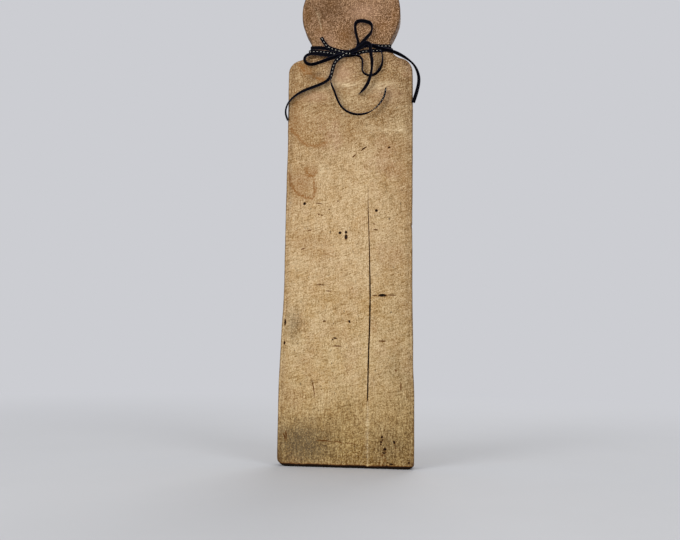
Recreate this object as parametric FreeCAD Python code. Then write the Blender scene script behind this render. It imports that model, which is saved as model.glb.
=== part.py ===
"""An old hand-cut bread board in the form of a paddle, with a ribbon bow tied round its neck.

Millimetres, +Z up. The board stands on its foot at the origin, and its face looks along -Y.
The board is one plank: a long blade with a flared foot and rounded shoulders, and a round knob to
hold it by. Between them a notch on each side makes the neck, which the ribbon goes round twice.
"""
import FreeCAD, Part
import math
import os
from FreeCAD import Vector

# The plank
THICKNESS = 19.0
EDGE_ROUNDING = 2.2

# The blade, as half widths from the centreline and heights from the foot
BLADE_HEIGHT = 388.2
BLADE_HALF = 60.0
FOOT_HALF_LEFT = 63.4
FOOT_HALF_RIGHT = 62.5
FOOT_CORNER_LEFT = 8.0
FOOT_CORNER_RIGHT = 5.0
FLARE_BOTTOM = 60.0
FLARE_TOP = 160.0
SHOULDER_RADIUS = 13.5

# The knob, with its centre above the shoulders, and the notch that runs from it into each shoulder
KNOB_RADIUS = 47.5
KNOB_RISE = 46.3
NOTCH_RADIUS = 14.5

# The drying crack up the face: height, offset from the centreline, half width and depth
CRACK = [
    (259.0, 18.5, 0.06, 0.25),
    (210.0, 20.0, 0.16, 0.9),
    (158.0, 21.4, 0.28, 1.6),
    (104.0, 20.4, 0.24, 1.4),
    (65.0, 20.1, 0.14, 0.9),
    (0.0, 20.6, 0.10, 0.7),
]
CUTTER_PROUD = 0.5

# The ribbon, the room between it and the wood, and the room between its two turns at the knot
RIBBON_WIDTH = 3.2
RIBBON_THICKNESS = 0.5
WRAP_GAP = 0.1
TURN_GAP = 0.1

# The knot, which covers both turns. Its middle is this far below the neck's narrowest point.
KNOT_WIDTH = 3.4
KNOT_DEPTH = 4.7
KNOT_DROP = 8.75
KNOT_ROUNDING = 1.3

# The two turns round the neck. Left and right of the knot each turn has its own way over the face,
# as points (share of the neck's half width, rise above the knot) of the edge that faces the other
# turn, and round the back both are level. Side is 1 for the turn that lies above, -1 below.
TURNS = {
    "upper_wrap": {
        "side": 1,
        "left": [(-0.10, 0.0), (-0.22, 0.4), (-0.39, 1.9), (-0.59, 3.7), (-0.77, 4.7)],
        "level": 4.7,
        "right": [
            (0.85, 4.7), (0.74, 5.3), (0.58, 6.4), (0.415, 7.4), (0.28, 5.1), (0.17, 1.8), (0.10, 0.0),
        ],
    },
    "lower_wrap": {
        "side": -1,
        "left": [(-0.10, 0.0), (-0.21, 0.3), (-0.38, 1.8), (-0.59, 3.5), (-0.79, 4.5)],
        "level": 4.5,
        "right": [(0.83, 4.5), (0.67, 3.9), (0.50, 3.5), (0.26, 1.9), (0.10, 0.0)],
    },
}

# The two loops, from the knot's side and back to it, as points (across, out from the wood's face,
# up from the neck's narrowest point)
LOOPS = {
    "left_loop": [
        (-5.0, 1.9, -9.3), (-10.9, 2.0, -11.0), (-17.7, 2.4, -11.3), (-24.6, 2.8, -10.6),
        (-31.4, 3.2, -9.7), (-38.0, 3.6, -9.3), (-42.4, 3.8, -10.7), (-44.5, 4.0, -13.9),
        (-43.9, 4.0, -17.5), (-40.9, 4.0, -19.9), (-36.0, 4.0, -20.4), (-30.1, 4.0, -18.7),
        (-23.3, 4.0, -16.2), (-16.6, 3.8, -13.8), (-9.8, 3.4, -11.7), (-4.7, 3.4, -10.1),
    ],
    "top_loop": [
        (3.6, 1.8, -7.9), (5.3, 1.8, -7.0), (6.5, 1.8, -5.1), (7.5, 1.8, -1.9),
        (7.7, 2.0, 1.7), (6.4, 2.4, 6.5), (5.1, 3.0, 12.1), (4.5, 3.6, 17.1),
        (6.2, 4.0, 20.6), (10.3, 4.0, 22.0), (15.2, 4.0, 21.3), (19.4, 4.0, 19.0),
        (21.3, 3.8, 14.8), (19.9, 3.6, 10.3), (16.7, 3.4, 6.4), (13.4, 3.4, 2.7),
        (10.1, 3.4, -1.1), (8.0, 3.4, -3.9), (6.2, 3.4, -5.9), (3.9, 3.4, -7.3),
    ],
}

# The ends, from the knot's side. Each lies in a plane that leans away from the wood: how far out it
# leaves the knot, how much further out per millimetre it rises, and its points (across, up).
# The lower loop is an end too, because it is tucked over the lower turn and doesn't come back.
ENDS = {
    "short_end": (
        1.15,
        0.15,
        [
            (-4.3, -7.9), (-8.6, -7.3), (-13.0, -5.8), (-17.6, -4.4), (-21.6, -2.6), (-24.4, 0.2),
            (-26.5, 3.4), (-28.2, 6.8),
        ],
    ),
    "left_tail": (
        2.8,
        0.02,
        [
            (-3.8, -10.0), (-6.3, -11.4), (-9.9, -14.8), (-14.0, -17.8), (-16.3, -21.6),
            (-17.2, -25.9), (-18.0, -30.5), (-20.6, -35.6), (-26.0, -39.1), (-32.9, -41.7),
            (-39.8, -44.2), (-46.8, -46.9), (-52.8, -50.7), (-57.8, -54.8), (-60.9, -59.5),
            (-62.4, -64.9), (-61.8, -70.1), (-59.9, -74.4),
        ],
    ),
    "curled_tail": (
        4.2,
        -0.005,
        [
            (-3.5, -10.0), (-5.4, -11.0), (-7.4, -13.4), (-9.8, -16.7), (-12.7, -19.9),
            (-14.8, -23.4), (-16.4, -27.6), (-17.4, -31.9), (-18.3, -36.3), (-17.6, -41.1),
            (-15.0, -46.3), (-13.3, -51.5), (-11.1, -57.0), (-7.9, -63.0), (-2.7, -67.6),
            (3.6, -70.4), (10.4, -71.2), (17.1, -70.1), (22.8, -67.0), (28.0, -62.1),
            (31.9, -56.4), (34.2, -50.4), (34.5, -45.1),
        ],
    ),
    "lower_loop": (
        1.2,
        -0.065,
        [
            (4.2, -9.6), (8.4, -10.6), (11.1, -13.7), (12.0, -18.1), (11.8, -23.0), (12.5, -27.9),
            (16.2, -31.6), (22.0, -32.2), (26.6, -29.0), (29.8, -24.4), (31.5, -18.8),
            (31.3, -13.2), (30.5, -9.4), (30.1, -6.5),
        ],
    ),
    "middle_tail": (
        4.2,
        0.03,
        [
            (3.9, -8.9), (6.1, -7.7), (8.9, -5.1), (11.7, -2.6), (14.2, -0.2), (17.2, -0.2),
            (19.4, -2.3), (19.7, -5.7), (19.8, -10.0), (20.8, -14.7), (21.4, -20.1),
            (21.3, -25.6), (20.4, -31.0), (19.0, -36.5), (16.9, -41.4), (14.0, -45.5),
            (10.8, -48.5), (8.6, -50.1),
        ],
    ),
    "right_tail": (
        2.6,
        -0.03,
        [
            (3.9, -9.6), (6.0, -8.5), (8.9, -5.7), (12.7, -3.0), (17.2, -1.7), (22.1, -2.5),
            (27.4, -4.5), (33.5, -6.3), (39.9, -8.2), (45.9, -10.9), (51.7, -14.5), (57.3, -18.6),
            (61.7, -23.4), (64.9, -28.9), (66.8, -34.7), (66.9, -41.1), (65.7, -47.5),
            (64.0, -53.8), (62.0, -59.4),
        ],
    ),
}

# Worked out from the sizes above
FACE = -THICKNESS / 2
KNOB_CENTRE = Vector(0, 0, BLADE_HEIGHT + KNOB_RISE)
SHOULDER_CENTRE = Vector(BLADE_HALF - SHOULDER_RADIUS, 0, BLADE_HEIGHT - SHOULDER_RADIUS)
KNOT_HEIGHT = 2 * RIBBON_WIDTH + TURN_GAP


def notch_centre():
    """The centre of the right-hand notch, which touches the knob's circle and the shoulder's."""
    from_knob = KNOB_RADIUS + NOTCH_RADIUS
    from_shoulder = SHOULDER_RADIUS + NOTCH_RADIUS
    between = SHOULDER_CENTRE - KNOB_CENTRE
    apart = between.Length
    along = (from_knob**2 - from_shoulder**2 + apart**2) / (2 * apart)
    aside = math.sqrt(from_knob**2 - along**2)
    direction = between / apart
    outward = Vector(-direction.z, 0, direction.x)
    return KNOB_CENTRE + direction * along + outward * aside


NOTCH_CENTRE = notch_centre()
NECK_HEIGHT = NOTCH_CENTRE.z


def on_face(across, out, up):
    """A point of the bow: out from the wood's face, and up from the neck's narrowest point."""
    return Vector(across, FACE - out, NECK_HEIGHT + up)


def bulge(centre, radius, start, end):
    """The arc about centre from start to end, the short way round."""
    middle = centre + ((start - centre).normalize() + (end - centre).normalize()).normalize() * radius
    return Part.Arc(start, middle, end)


def flare(foot_half):
    """The two equal arcs by which the blade's side draws in from the foot's width to the blade's."""
    foot, blade = Vector(foot_half, 0, FLARE_BOTTOM), Vector(BLADE_HALF, 0, FLARE_TOP)
    middle = (foot + blade) / 2
    rise, inset = (FLARE_TOP - FLARE_BOTTOM) / 2, (foot_half - BLADE_HALF) / 2
    reach = Vector((rise**2 + inset**2) / (2 * inset), 0, 0)
    return [
        bulge(foot - reach, reach.Length, foot, middle),
        bulge(blade + reach, reach.Length, middle, blade),
    ]


def half_outline(foot_half, foot_corner):
    """The outline's right half, from the middle of the foot up to the top of the knob."""
    corner_centre = Vector(foot_half - foot_corner, 0, foot_corner)
    corner_start = Vector(foot_half - foot_corner, 0, 0)
    corner_end = Vector(foot_half, 0, foot_corner)
    shoulder_start = Vector(BLADE_HALF, 0, SHOULDER_CENTRE.z)
    shoulder_end = SHOULDER_CENTRE + (NOTCH_CENTRE - SHOULDER_CENTRE).normalize() * SHOULDER_RADIUS
    notch_end = KNOB_CENTRE + (NOTCH_CENTRE - KNOB_CENTRE).normalize() * KNOB_RADIUS
    knob_top = KNOB_CENTRE + Vector(0, 0, KNOB_RADIUS)
    curves = [
        Part.LineSegment(Vector(0, 0, 0), corner_start),
        bulge(corner_centre, foot_corner, corner_start, corner_end),
        Part.LineSegment(corner_end, Vector(foot_half, 0, FLARE_BOTTOM)),
        *flare(foot_half),
        Part.LineSegment(Vector(BLADE_HALF, 0, FLARE_TOP), shoulder_start),
        bulge(SHOULDER_CENTRE, SHOULDER_RADIUS, shoulder_start, shoulder_end),
        bulge(NOTCH_CENTRE, NOTCH_RADIUS, shoulder_end, notch_end),
        bulge(KNOB_CENTRE, KNOB_RADIUS, notch_end, knob_top),
    ]
    return Part.Wire([curve.toShape() for curve in curves])


def crack():
    """A tapering V along the grain, whose cutter stands proud of the face and runs out at the foot."""
    sections = []
    for height, offset, half_width, depth in CRACK:
        spread = half_width * (1 + CUTTER_PROUD / depth)
        level = height or -CUTTER_PROUD
        left = Vector(offset - spread, FACE - CUTTER_PROUD, level)
        right = Vector(offset + spread, FACE - CUTTER_PROUD, level)
        sections.append(Part.makePolygon([left, right, Vector(offset, FACE + depth, level), left]))
    return Part.makeLoft(sections, True, True)


def board():
    """The plank, cut to its outline, with every long edge worn round and a drying crack up the face."""
    middle, across = Vector(0, 0, 0), Vector(1, 0, 0)
    right = half_outline(FOOT_HALF_RIGHT, FOOT_CORNER_RIGHT)
    left = half_outline(FOOT_HALF_LEFT, FOOT_CORNER_LEFT).mirror(middle, across)
    outline = Part.Wire(Part.__sortEdges__(right.Edges + left.Edges))
    outline.translate(Vector(0, FACE, 0))
    plank = Part.Face(outline).extrude(Vector(0, THICKNESS, 0)).removeSplitter()
    rims = [edge for edge in plank.Edges if edge.BoundBox.YLength < EDGE_ROUNDING]
    return plank.makeFillet(EDGE_ROUNDING, rims).cut(crack())


def bent(points, edge_radius=None):
    """Straight runs joined by tangent arcs, and the arcs' radii.

    Each arc is as large as its two runs allow, but where the route goes round an edge of the wood
    it takes the edge's own radius."""
    edges, radii, start = [], [], points[0]
    for before, corner, after in zip(points, points[1:], points[2:]):
        into, out = (corner - before).normalize(), (after - corner).normalize()
        half_turn = into.getAngle(out) / 2
        shorter = min((corner - before).Length, (after - corner).Length)
        radius = 0.45 * shorter / math.tan(half_turn)
        if edge_radius and half_turn > math.radians(30):
            radius = edge_radius
        cut = radius * math.tan(half_turn)
        first, last = corner - into * cut, corner + out * cut
        inward = ((first + last) / 2 - corner).normalize()
        middle = corner + inward * (radius / math.cos(half_turn) - radius)
        edges += [Part.LineSegment(start, first).toShape(), Part.Arc(first, middle, last).toShape()]
        radii.append(radius)
        start = last
    edges.append(Part.LineSegment(start, points[-1]).toShape())
    return Part.Wire(edges), radii


def ribbon(name, points, edge_radius=None):
    """A flat strip along the points, which starts with its broad side in the plane of its first bend."""
    route, radii = bent(points, edge_radius)
    along = (points[1] - points[0]).normalize()
    flat = along.cross(points[2] - points[1]).normalize()
    across = along.cross(flat) * (RIBBON_WIDTH / 2)
    through = flat * (RIBBON_THICKNESS / 2)
    start = points[0]
    corners = [start + across + through, start - across + through]
    corners += [start - across - through, start + across - through]
    sweep = Part.BRepOffsetAPI.MakePipeShell(route)
    sweep.setFrenetMode(False)
    sweep.add(Part.makePolygon(corners + [corners[0]]))
    sweep.build()
    sweep.makeSolid()
    strip = sweep.shape()
    print(
        f"{name}: length {route.Length:.1f}, radii {min(radii):.1f} to {max(radii):.1f},"
        f" volume {strip.Volume:.2f}"
        f" for section by length {RIBBON_WIDTH * RIBBON_THICKNESS * route.Length:.2f}"
    )
    return strip


def at_knot(point):
    """The point of the knot's side that is level with this point of a route."""
    return Vector(math.copysign(KNOT_WIDTH / 2, point.x), point.y, point.z)


def turn(name, side, left, level, right):
    """One turn of ribbon round the neck, from the knot's left side round the back to its right side."""
    out = WRAP_GAP + RIBBON_THICKNESS / 2
    back = -THICKNESS - out
    middle = side * (RIBBON_WIDTH + TURN_GAP) / 2 - KNOT_DROP
    reach = abs(level + middle) + RIBBON_WIDTH / 2
    wood_half = NOTCH_CENTRE.x - math.sqrt(NOTCH_RADIUS**2 - reach**2)
    half = wood_half + out
    left = [on_face(share * wood_half, out, rise + middle) for share, rise in left]
    right = [on_face(share * wood_half, out, rise + middle) for share, rise in right]
    round_back = [
        on_face(-half, out, level + middle),
        on_face(-half, back, level + middle),
        on_face(half, back, level + middle),
        on_face(half, out, level + middle),
    ]
    points = [at_knot(left[0]), *left, *round_back, *right, at_knot(right[-1])]
    return ribbon(name, points, EDGE_ROUNDING + out)


def loop(name, route):
    """A length of ribbon that leaves the knot's side and comes back to it."""
    points = [on_face(*point) for point in route]
    return ribbon(name, [at_knot(points[0]), *points, at_knot(points[-1])])


def end(name, out, lean, route):
    """A length of ribbon that leaves the knot's side and ends free, in a plane that leans outwards."""
    knot_up = route[0][1]
    points = [on_face(across, out + lean * (up - knot_up), up) for across, up in route]
    return ribbon(name, [at_knot(points[0]), *points])


def bow_knot():
    """The ribbon drawn tight over the bow's middle, with flat sides where the loops and ends leave it."""
    corner = on_face(-KNOT_WIDTH / 2, KNOT_DEPTH + WRAP_GAP, -KNOT_DROP - KNOT_HEIGHT / 2)
    knot = Part.makeBox(KNOT_WIDTH, KNOT_DEPTH, KNOT_HEIGHT, corner)
    long_edges = [edge for edge in knot.Edges if edge.BoundBox.XLength > KNOT_WIDTH / 2]
    return knot.makeFillet(KNOT_ROUNDING, long_edges)


def main():
    os.makedirs("parts", exist_ok=True)
    pieces = {"board": board(), "bow_knot": bow_knot()}
    for name, way in TURNS.items():
        pieces[name] = turn(name, **way)
    for name, route in LOOPS.items():
        pieces[name] = loop(name, route)
    for name, (out, lean, route) in ENDS.items():
        pieces[name] = end(name, out, lean, route)
    for name, shape in pieces.items():
        box = shape.BoundBox
        print(f"{name}: {len(shape.Solids)} solid, valid {shape.isValid()},"
              f" {box.XLength:.1f} x {box.YLength:.1f} x {box.ZLength:.1f}")
        shape.exportStep(f"parts/{name}.step")


main()
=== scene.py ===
"""An old hand-cut bread board in the form of a paddle, with a ribbon bow tied round its neck.

Metres, +Z up. The board stands on its foot at the origin and its face looks along -Y. The board is
made anew with its worn edges, knife cuts and drying crack, and every length of ribbon is a flat
woven strip that turns as it runs, with running stitches down the middle of one side.
"""
import math
import random
from collections import namedtuple

import bpy
from mathutils import Matrix, Vector, noise
from mathutils.geometry import delaunay_2d_cdt, intersect_point_line


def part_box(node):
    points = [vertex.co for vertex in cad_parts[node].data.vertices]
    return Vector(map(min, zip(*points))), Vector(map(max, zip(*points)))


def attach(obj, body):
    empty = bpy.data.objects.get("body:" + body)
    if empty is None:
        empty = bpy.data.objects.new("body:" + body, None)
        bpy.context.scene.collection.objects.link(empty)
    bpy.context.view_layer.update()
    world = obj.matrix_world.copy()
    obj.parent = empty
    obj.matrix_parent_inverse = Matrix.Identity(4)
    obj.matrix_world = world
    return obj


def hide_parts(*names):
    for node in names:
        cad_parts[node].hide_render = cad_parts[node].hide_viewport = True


bl_info = {
    "name": "Bread board with a ribbon bow",
    "version": (1, 0, 0),
    "blender": (4, 5, 0),
    "location": "View3D > Sidebar > Bread board",
    "description": "Makes an old paddle-shaped bread board and the ribbon bow round its neck",
    "category": "Object",
}

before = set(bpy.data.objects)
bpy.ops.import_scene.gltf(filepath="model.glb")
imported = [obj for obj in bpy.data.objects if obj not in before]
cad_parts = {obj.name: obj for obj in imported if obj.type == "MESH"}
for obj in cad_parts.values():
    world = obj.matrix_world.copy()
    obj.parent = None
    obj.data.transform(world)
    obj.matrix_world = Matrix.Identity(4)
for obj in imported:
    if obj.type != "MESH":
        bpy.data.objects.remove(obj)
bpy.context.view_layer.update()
BOARD_LOW, BOARD_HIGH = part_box("board")
KNOT_LOW, KNOT_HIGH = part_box("bow_knot")
FACE = BOARD_LOW.y
BACK = BOARD_HIGH.y
FRONT = Vector((0, -1, 0))
UP = Vector((0, 0, 1))


# ---------------------------------------------------------------------------------------------
# Settings
# ---------------------------------------------------------------------------------------------


def length(name, description, default):
    """A setting that is a length in metres."""
    return bpy.props.FloatProperty(
        name=name, description=description, default=default, min=0, precision=4, subtype="DISTANCE"
    )


def colour(name, description, red, green, blue):
    """A colour setting, given as the eight-bit values that a paint chart would show."""
    chart = [value / 255 for value in (red, green, blue)]
    linear = [v / 12.92 if v <= 0.04045 else ((v + 0.055) / 1.055) ** 2.4 for v in chart]
    return bpy.props.FloatVectorProperty(
        name=name, description=description, default=linear, size=3, min=0, max=1, subtype="COLOR"
    )


class BoardSizes(bpy.types.PropertyGroup):
    """The plank's outline and wear."""

    rounding: length("Edge rounding", "How far the long edges are worn round", 0.0022)
    blade_height: length("Blade height", "Height of the shoulders above the foot", 0.3882)
    blade_half: length("Blade half width", "From the middle to the side above the flare", 0.06)
    foot_corner_left: length("Left foot corner", "Radius of the foot's left corner", 0.008)
    foot_corner_right: length("Right foot corner", "Radius of the foot's right corner", 0.005)
    flare_bottom: length("Flare bottom", "Height where the side starts to draw in", 0.06)
    flare_top: length("Flare top", "Height where the side is straight again", 0.16)
    shoulder_radius: length("Shoulder radius", "Radius of the blade's top corners", 0.0135)
    knob_radius: length("Knob radius", "Radius of the round knob", 0.0475)
    notch_radius: length("Notch radius", "Radius of the neck's two notches", 0.0145)
    stray: length("Stray", "How far the hand-cut outline strays from its line", 0.0002)
    fullness: length("Fullness", "How far the outline stands outside its line", 0.0004)
    grid: length("Grid", "Distance between the points of the face", 0.0017)


class WoodColours(bpy.types.PropertyGroup):
    """The colours of the wood from the foot up, and of its wear."""

    foot: colour("Foot", "Dark, handled wood at the foot", 157, 126, 70)
    low: colour("Low", "The blade above the foot", 203, 176, 133)
    blade: colour("Blade", "The scrubbed middle of the blade", 204, 175, 136)
    shoulder: colour("Shoulder", "The blade's top", 162, 129, 89)
    knob: colour("Knob", "The handled knob", 135, 101, 70)
    blush: colour("Blush", "Pinkish, scrubbed patches", 182, 144, 116)
    # The edge colour also darkens the rims as they turn towards the sides, and the sides themselves
    edge: colour("Edge", "Dirt rubbed into the edges", 78, 51, 26)
    # The two cut colours also paint the dark band along the foot's bottom, which is partly dirt and
    # partly painted shadow
    cut: colour("Cut", "Dirt in the cuts and the crack", 22, 9, 0)
    cut_edge: colour("Cut edge", "The browned edge of the cuts and the crack", 104, 62, 18)
    grime: colour("Grime", "Grey stains", 86, 73, 55)
    warm: colour("Warm", "Orange-brown stains", 138, 93, 46)
    scuff: colour("Scuff", "Whitish scuffed fibres", 226, 203, 163)
    foot_fibre: colour("Foot fibre", "Paler fibres of the handled foot", 226, 199, 146)
    knob_fibre: colour("Knob fibre", "Paler fibres of the handled knob", 213, 175, 140)


class RibbonSizes(bpy.types.PropertyGroup):
    """The ribbon's strip, weave and stitches."""

    width: length("Width", "Width of the ribbon", 0.0035)
    thickness: length("Thickness", "Thickness of the ribbon", 0.0005)
    gap: length("Gap", "Room between the ribbon's turns and the wood", 0.0001)
    turn_gap: length("Turn gap", "Room between the two turns at the knot", 0.0001)
    rib: length("Rib", "Distance between two ribs of the weave", 0.00042)
    stitch_pitch: length("Stitch pitch", "Distance from one stitch to the next", 0.0034)
    stitch_length: length("Stitch length", "Length of thread that shows in a stitch", 0.0019)
    stitch_width: length("Stitch width", "Width of the thread", 0.0005)


class RibbonColours(bpy.types.PropertyGroup):
    """The ribbon's colours."""

    cloth: colour("Cloth", "The ribbon's navy black", 3, 3, 10)
    # Painted highlight: the lighter colour along the ribbon's edges stands for the sheen they catch
    edge_sheen: colour("Selvedge", "The ribbon's smooth edges", 34, 35, 50)
    thread: colour("Thread", "The whitish stitches", 196, 192, 180)


class StageSettings(bpy.types.PropertyGroup):
    """The surroundings."""

    floor: colour("Floor", "The pale floor", 188, 189, 192)
    wall: colour("Surroundings", "The pale surroundings behind the object", 204, 205, 210)
    key: bpy.props.FloatProperty(
        name="Key", description="Power of the soft lamp at the left", default=13.5, unit="POWER"
    )
    side: bpy.props.FloatProperty(
        name="Side", description="Power of the soft lamp at the right", default=10, unit="POWER"
    )
    behind: bpy.props.FloatProperty(
        name="Behind", description="Power of the soft lamp behind", default=12, unit="POWER"
    )
    fill: bpy.props.FloatProperty(
        name="Fill", description="Strength of the light from all sides", default=0.635, min=0
    )


class BreadBoardSettings(bpy.types.PropertyGroup):
    """All sizes and colours of the bread board and its stage."""

    board: bpy.props.PointerProperty(type=BoardSizes, name="Board")
    wood: bpy.props.PointerProperty(type=WoodColours, name="Wood")
    ribbon: bpy.props.PointerProperty(type=RibbonSizes, name="Ribbon")
    cloth: bpy.props.PointerProperty(type=RibbonColours, name="Cloth")
    stage: bpy.props.PointerProperty(type=StageSettings, name="Stage")


def settings():
    return bpy.context.scene.bread_board


# ---------------------------------------------------------------------------------------------
# Helpers for meshes and node trees
# ---------------------------------------------------------------------------------------------


def new_object(name, mesh, *materials):
    """A new object in the scene for a mesh, with its materials."""
    piece = bpy.data.objects.new(name, mesh)
    bpy.context.scene.collection.objects.link(piece)
    for material in materials:
        mesh.materials.append(material)
    return piece


def hold(pieces):
    """Lets pieces ride on the board, the only body."""
    for piece in pieces:
        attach(piece, "root")


def smooth(mesh, sharp):
    """Shades a mesh smoothly, with its edges sharp above an angle in degrees."""
    mesh.shade_smooth()
    mesh.set_sharp_from_angle(angle=math.radians(sharp))


def add(tree, kind, inputs=None, **values):
    """A new node in the tree, with its settings and the values or links of its inputs."""
    node = tree.nodes.new(kind)
    for name, value in values.items():
        setattr(node, name, value)
    for name, value in (inputs or {}).items():
        socket = node.inputs[name]
        if isinstance(value, bpy.types.NodeSocket):
            tree.links.new(value, socket)
        else:
            socket.default_value = value
    return node


def rgba(value):
    return (*value, 1)


def mixed(tree, factor, first, second, blend="MIX"):
    """Two colours mixed by a factor."""
    node = add(tree, "ShaderNodeMix", {0: factor, 6: first, 7: second}, data_type="RGBA")
    node.blend_type = blend
    return node.outputs[2]


def tinted(tree, shade, amount, tint):
    """A colour multiplied by a tint, by an amount."""
    return mixed(tree, amount, shade, (*tint, 1), "MULTIPLY")


def times(tree, first, second):
    return add(tree, "ShaderNodeMath", {0: first, 1: second}, operation="MULTIPLY").outputs[0]


def plus(tree, first, second):
    return add(tree, "ShaderNodeMath", {0: first, 1: second}, operation="ADD").outputs[0]


def between(tree, value, low, high, to_low=0.0, to_high=1.0):
    """The value's place between low and high, smoothly from to_low to to_high."""
    inputs = {"Value": value, "From Min": low, "From Max": high, "To Min": to_low, "To Max": to_high}
    return add(tree, "ShaderNodeMapRange", inputs, interpolation_type="SMOOTHSTEP").outputs[0]


def noise_on(tree, coordinates, scale, detail=4.0, roughness=0.55):
    """Noise with its own scale along each axis, per metre."""
    stretched = add(tree, "ShaderNodeMapping", {"Vector": coordinates, "Scale": scale})
    inputs = {
        "Vector": stretched.outputs[0], "Scale": 1.0, "Detail": detail, "Roughness": roughness,
    }
    return add(tree, "ShaderNodeTexNoise", inputs).outputs["Fac"]


def turned_coordinates(tree, coordinates, **change):
    """Coordinates that a Mapping node moves or turns."""
    return add(tree, "ShaderNodeMapping", {"Vector": coordinates, **change}).outputs[0]


def attribute(tree, name):
    return add(tree, "ShaderNodeAttribute", attribute_name=name).outputs["Fac"]


def new_material(name):
    """A new material, its tree and its shader."""
    material = bpy.data.materials.new(name)
    material.use_nodes = True
    tree = material.node_tree
    return material, tree, tree.nodes["Principled BSDF"]


def finish_shader(tree, shader, shade, height, strength, distance):
    """Gives a shader its colour and its bump."""
    bump = add(tree, "ShaderNodeBump", {"Height": height, "Strength": strength, "Distance": distance})
    tree.links.new(shade, shader.inputs["Base Color"])
    tree.links.new(bump.outputs[0], shader.inputs["Normal"])


# ---------------------------------------------------------------------------------------------
# The board
# ---------------------------------------------------------------------------------------------

# The drying crack up the face: offset from the middle, height, half width and depth
CRACK = [
    (0.0185, 0.2590, 0.00006, 0.0002),
    (0.0186, 0.2450, 0.00017, 0.0005),
    (0.0190, 0.2340, 0.00021, 0.0007),
    (0.0200, 0.2100, 0.00024, 0.0010),
    (0.0208, 0.1830, 0.00036, 0.0014),
    (0.0214, 0.1590, 0.00043, 0.0016),
    (0.0213, 0.1340, 0.00046, 0.0016),
    (0.0209, 0.1190, 0.00044, 0.0015),
    (0.0204, 0.1045, 0.00042, 0.0014),
    (0.0202, 0.0880, 0.00042, 0.0012),
    (0.0200, 0.0660, 0.00036, 0.0009),
    (0.0200, 0.0600, 0.00008, 0.0005),
    (0.0202, 0.0470, 0.00006, 0.0004),
    (0.0204, 0.0240, 0.00006, 0.0004),
    (0.0206, 0.0, 0.00006, 0.0004),
]

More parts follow.
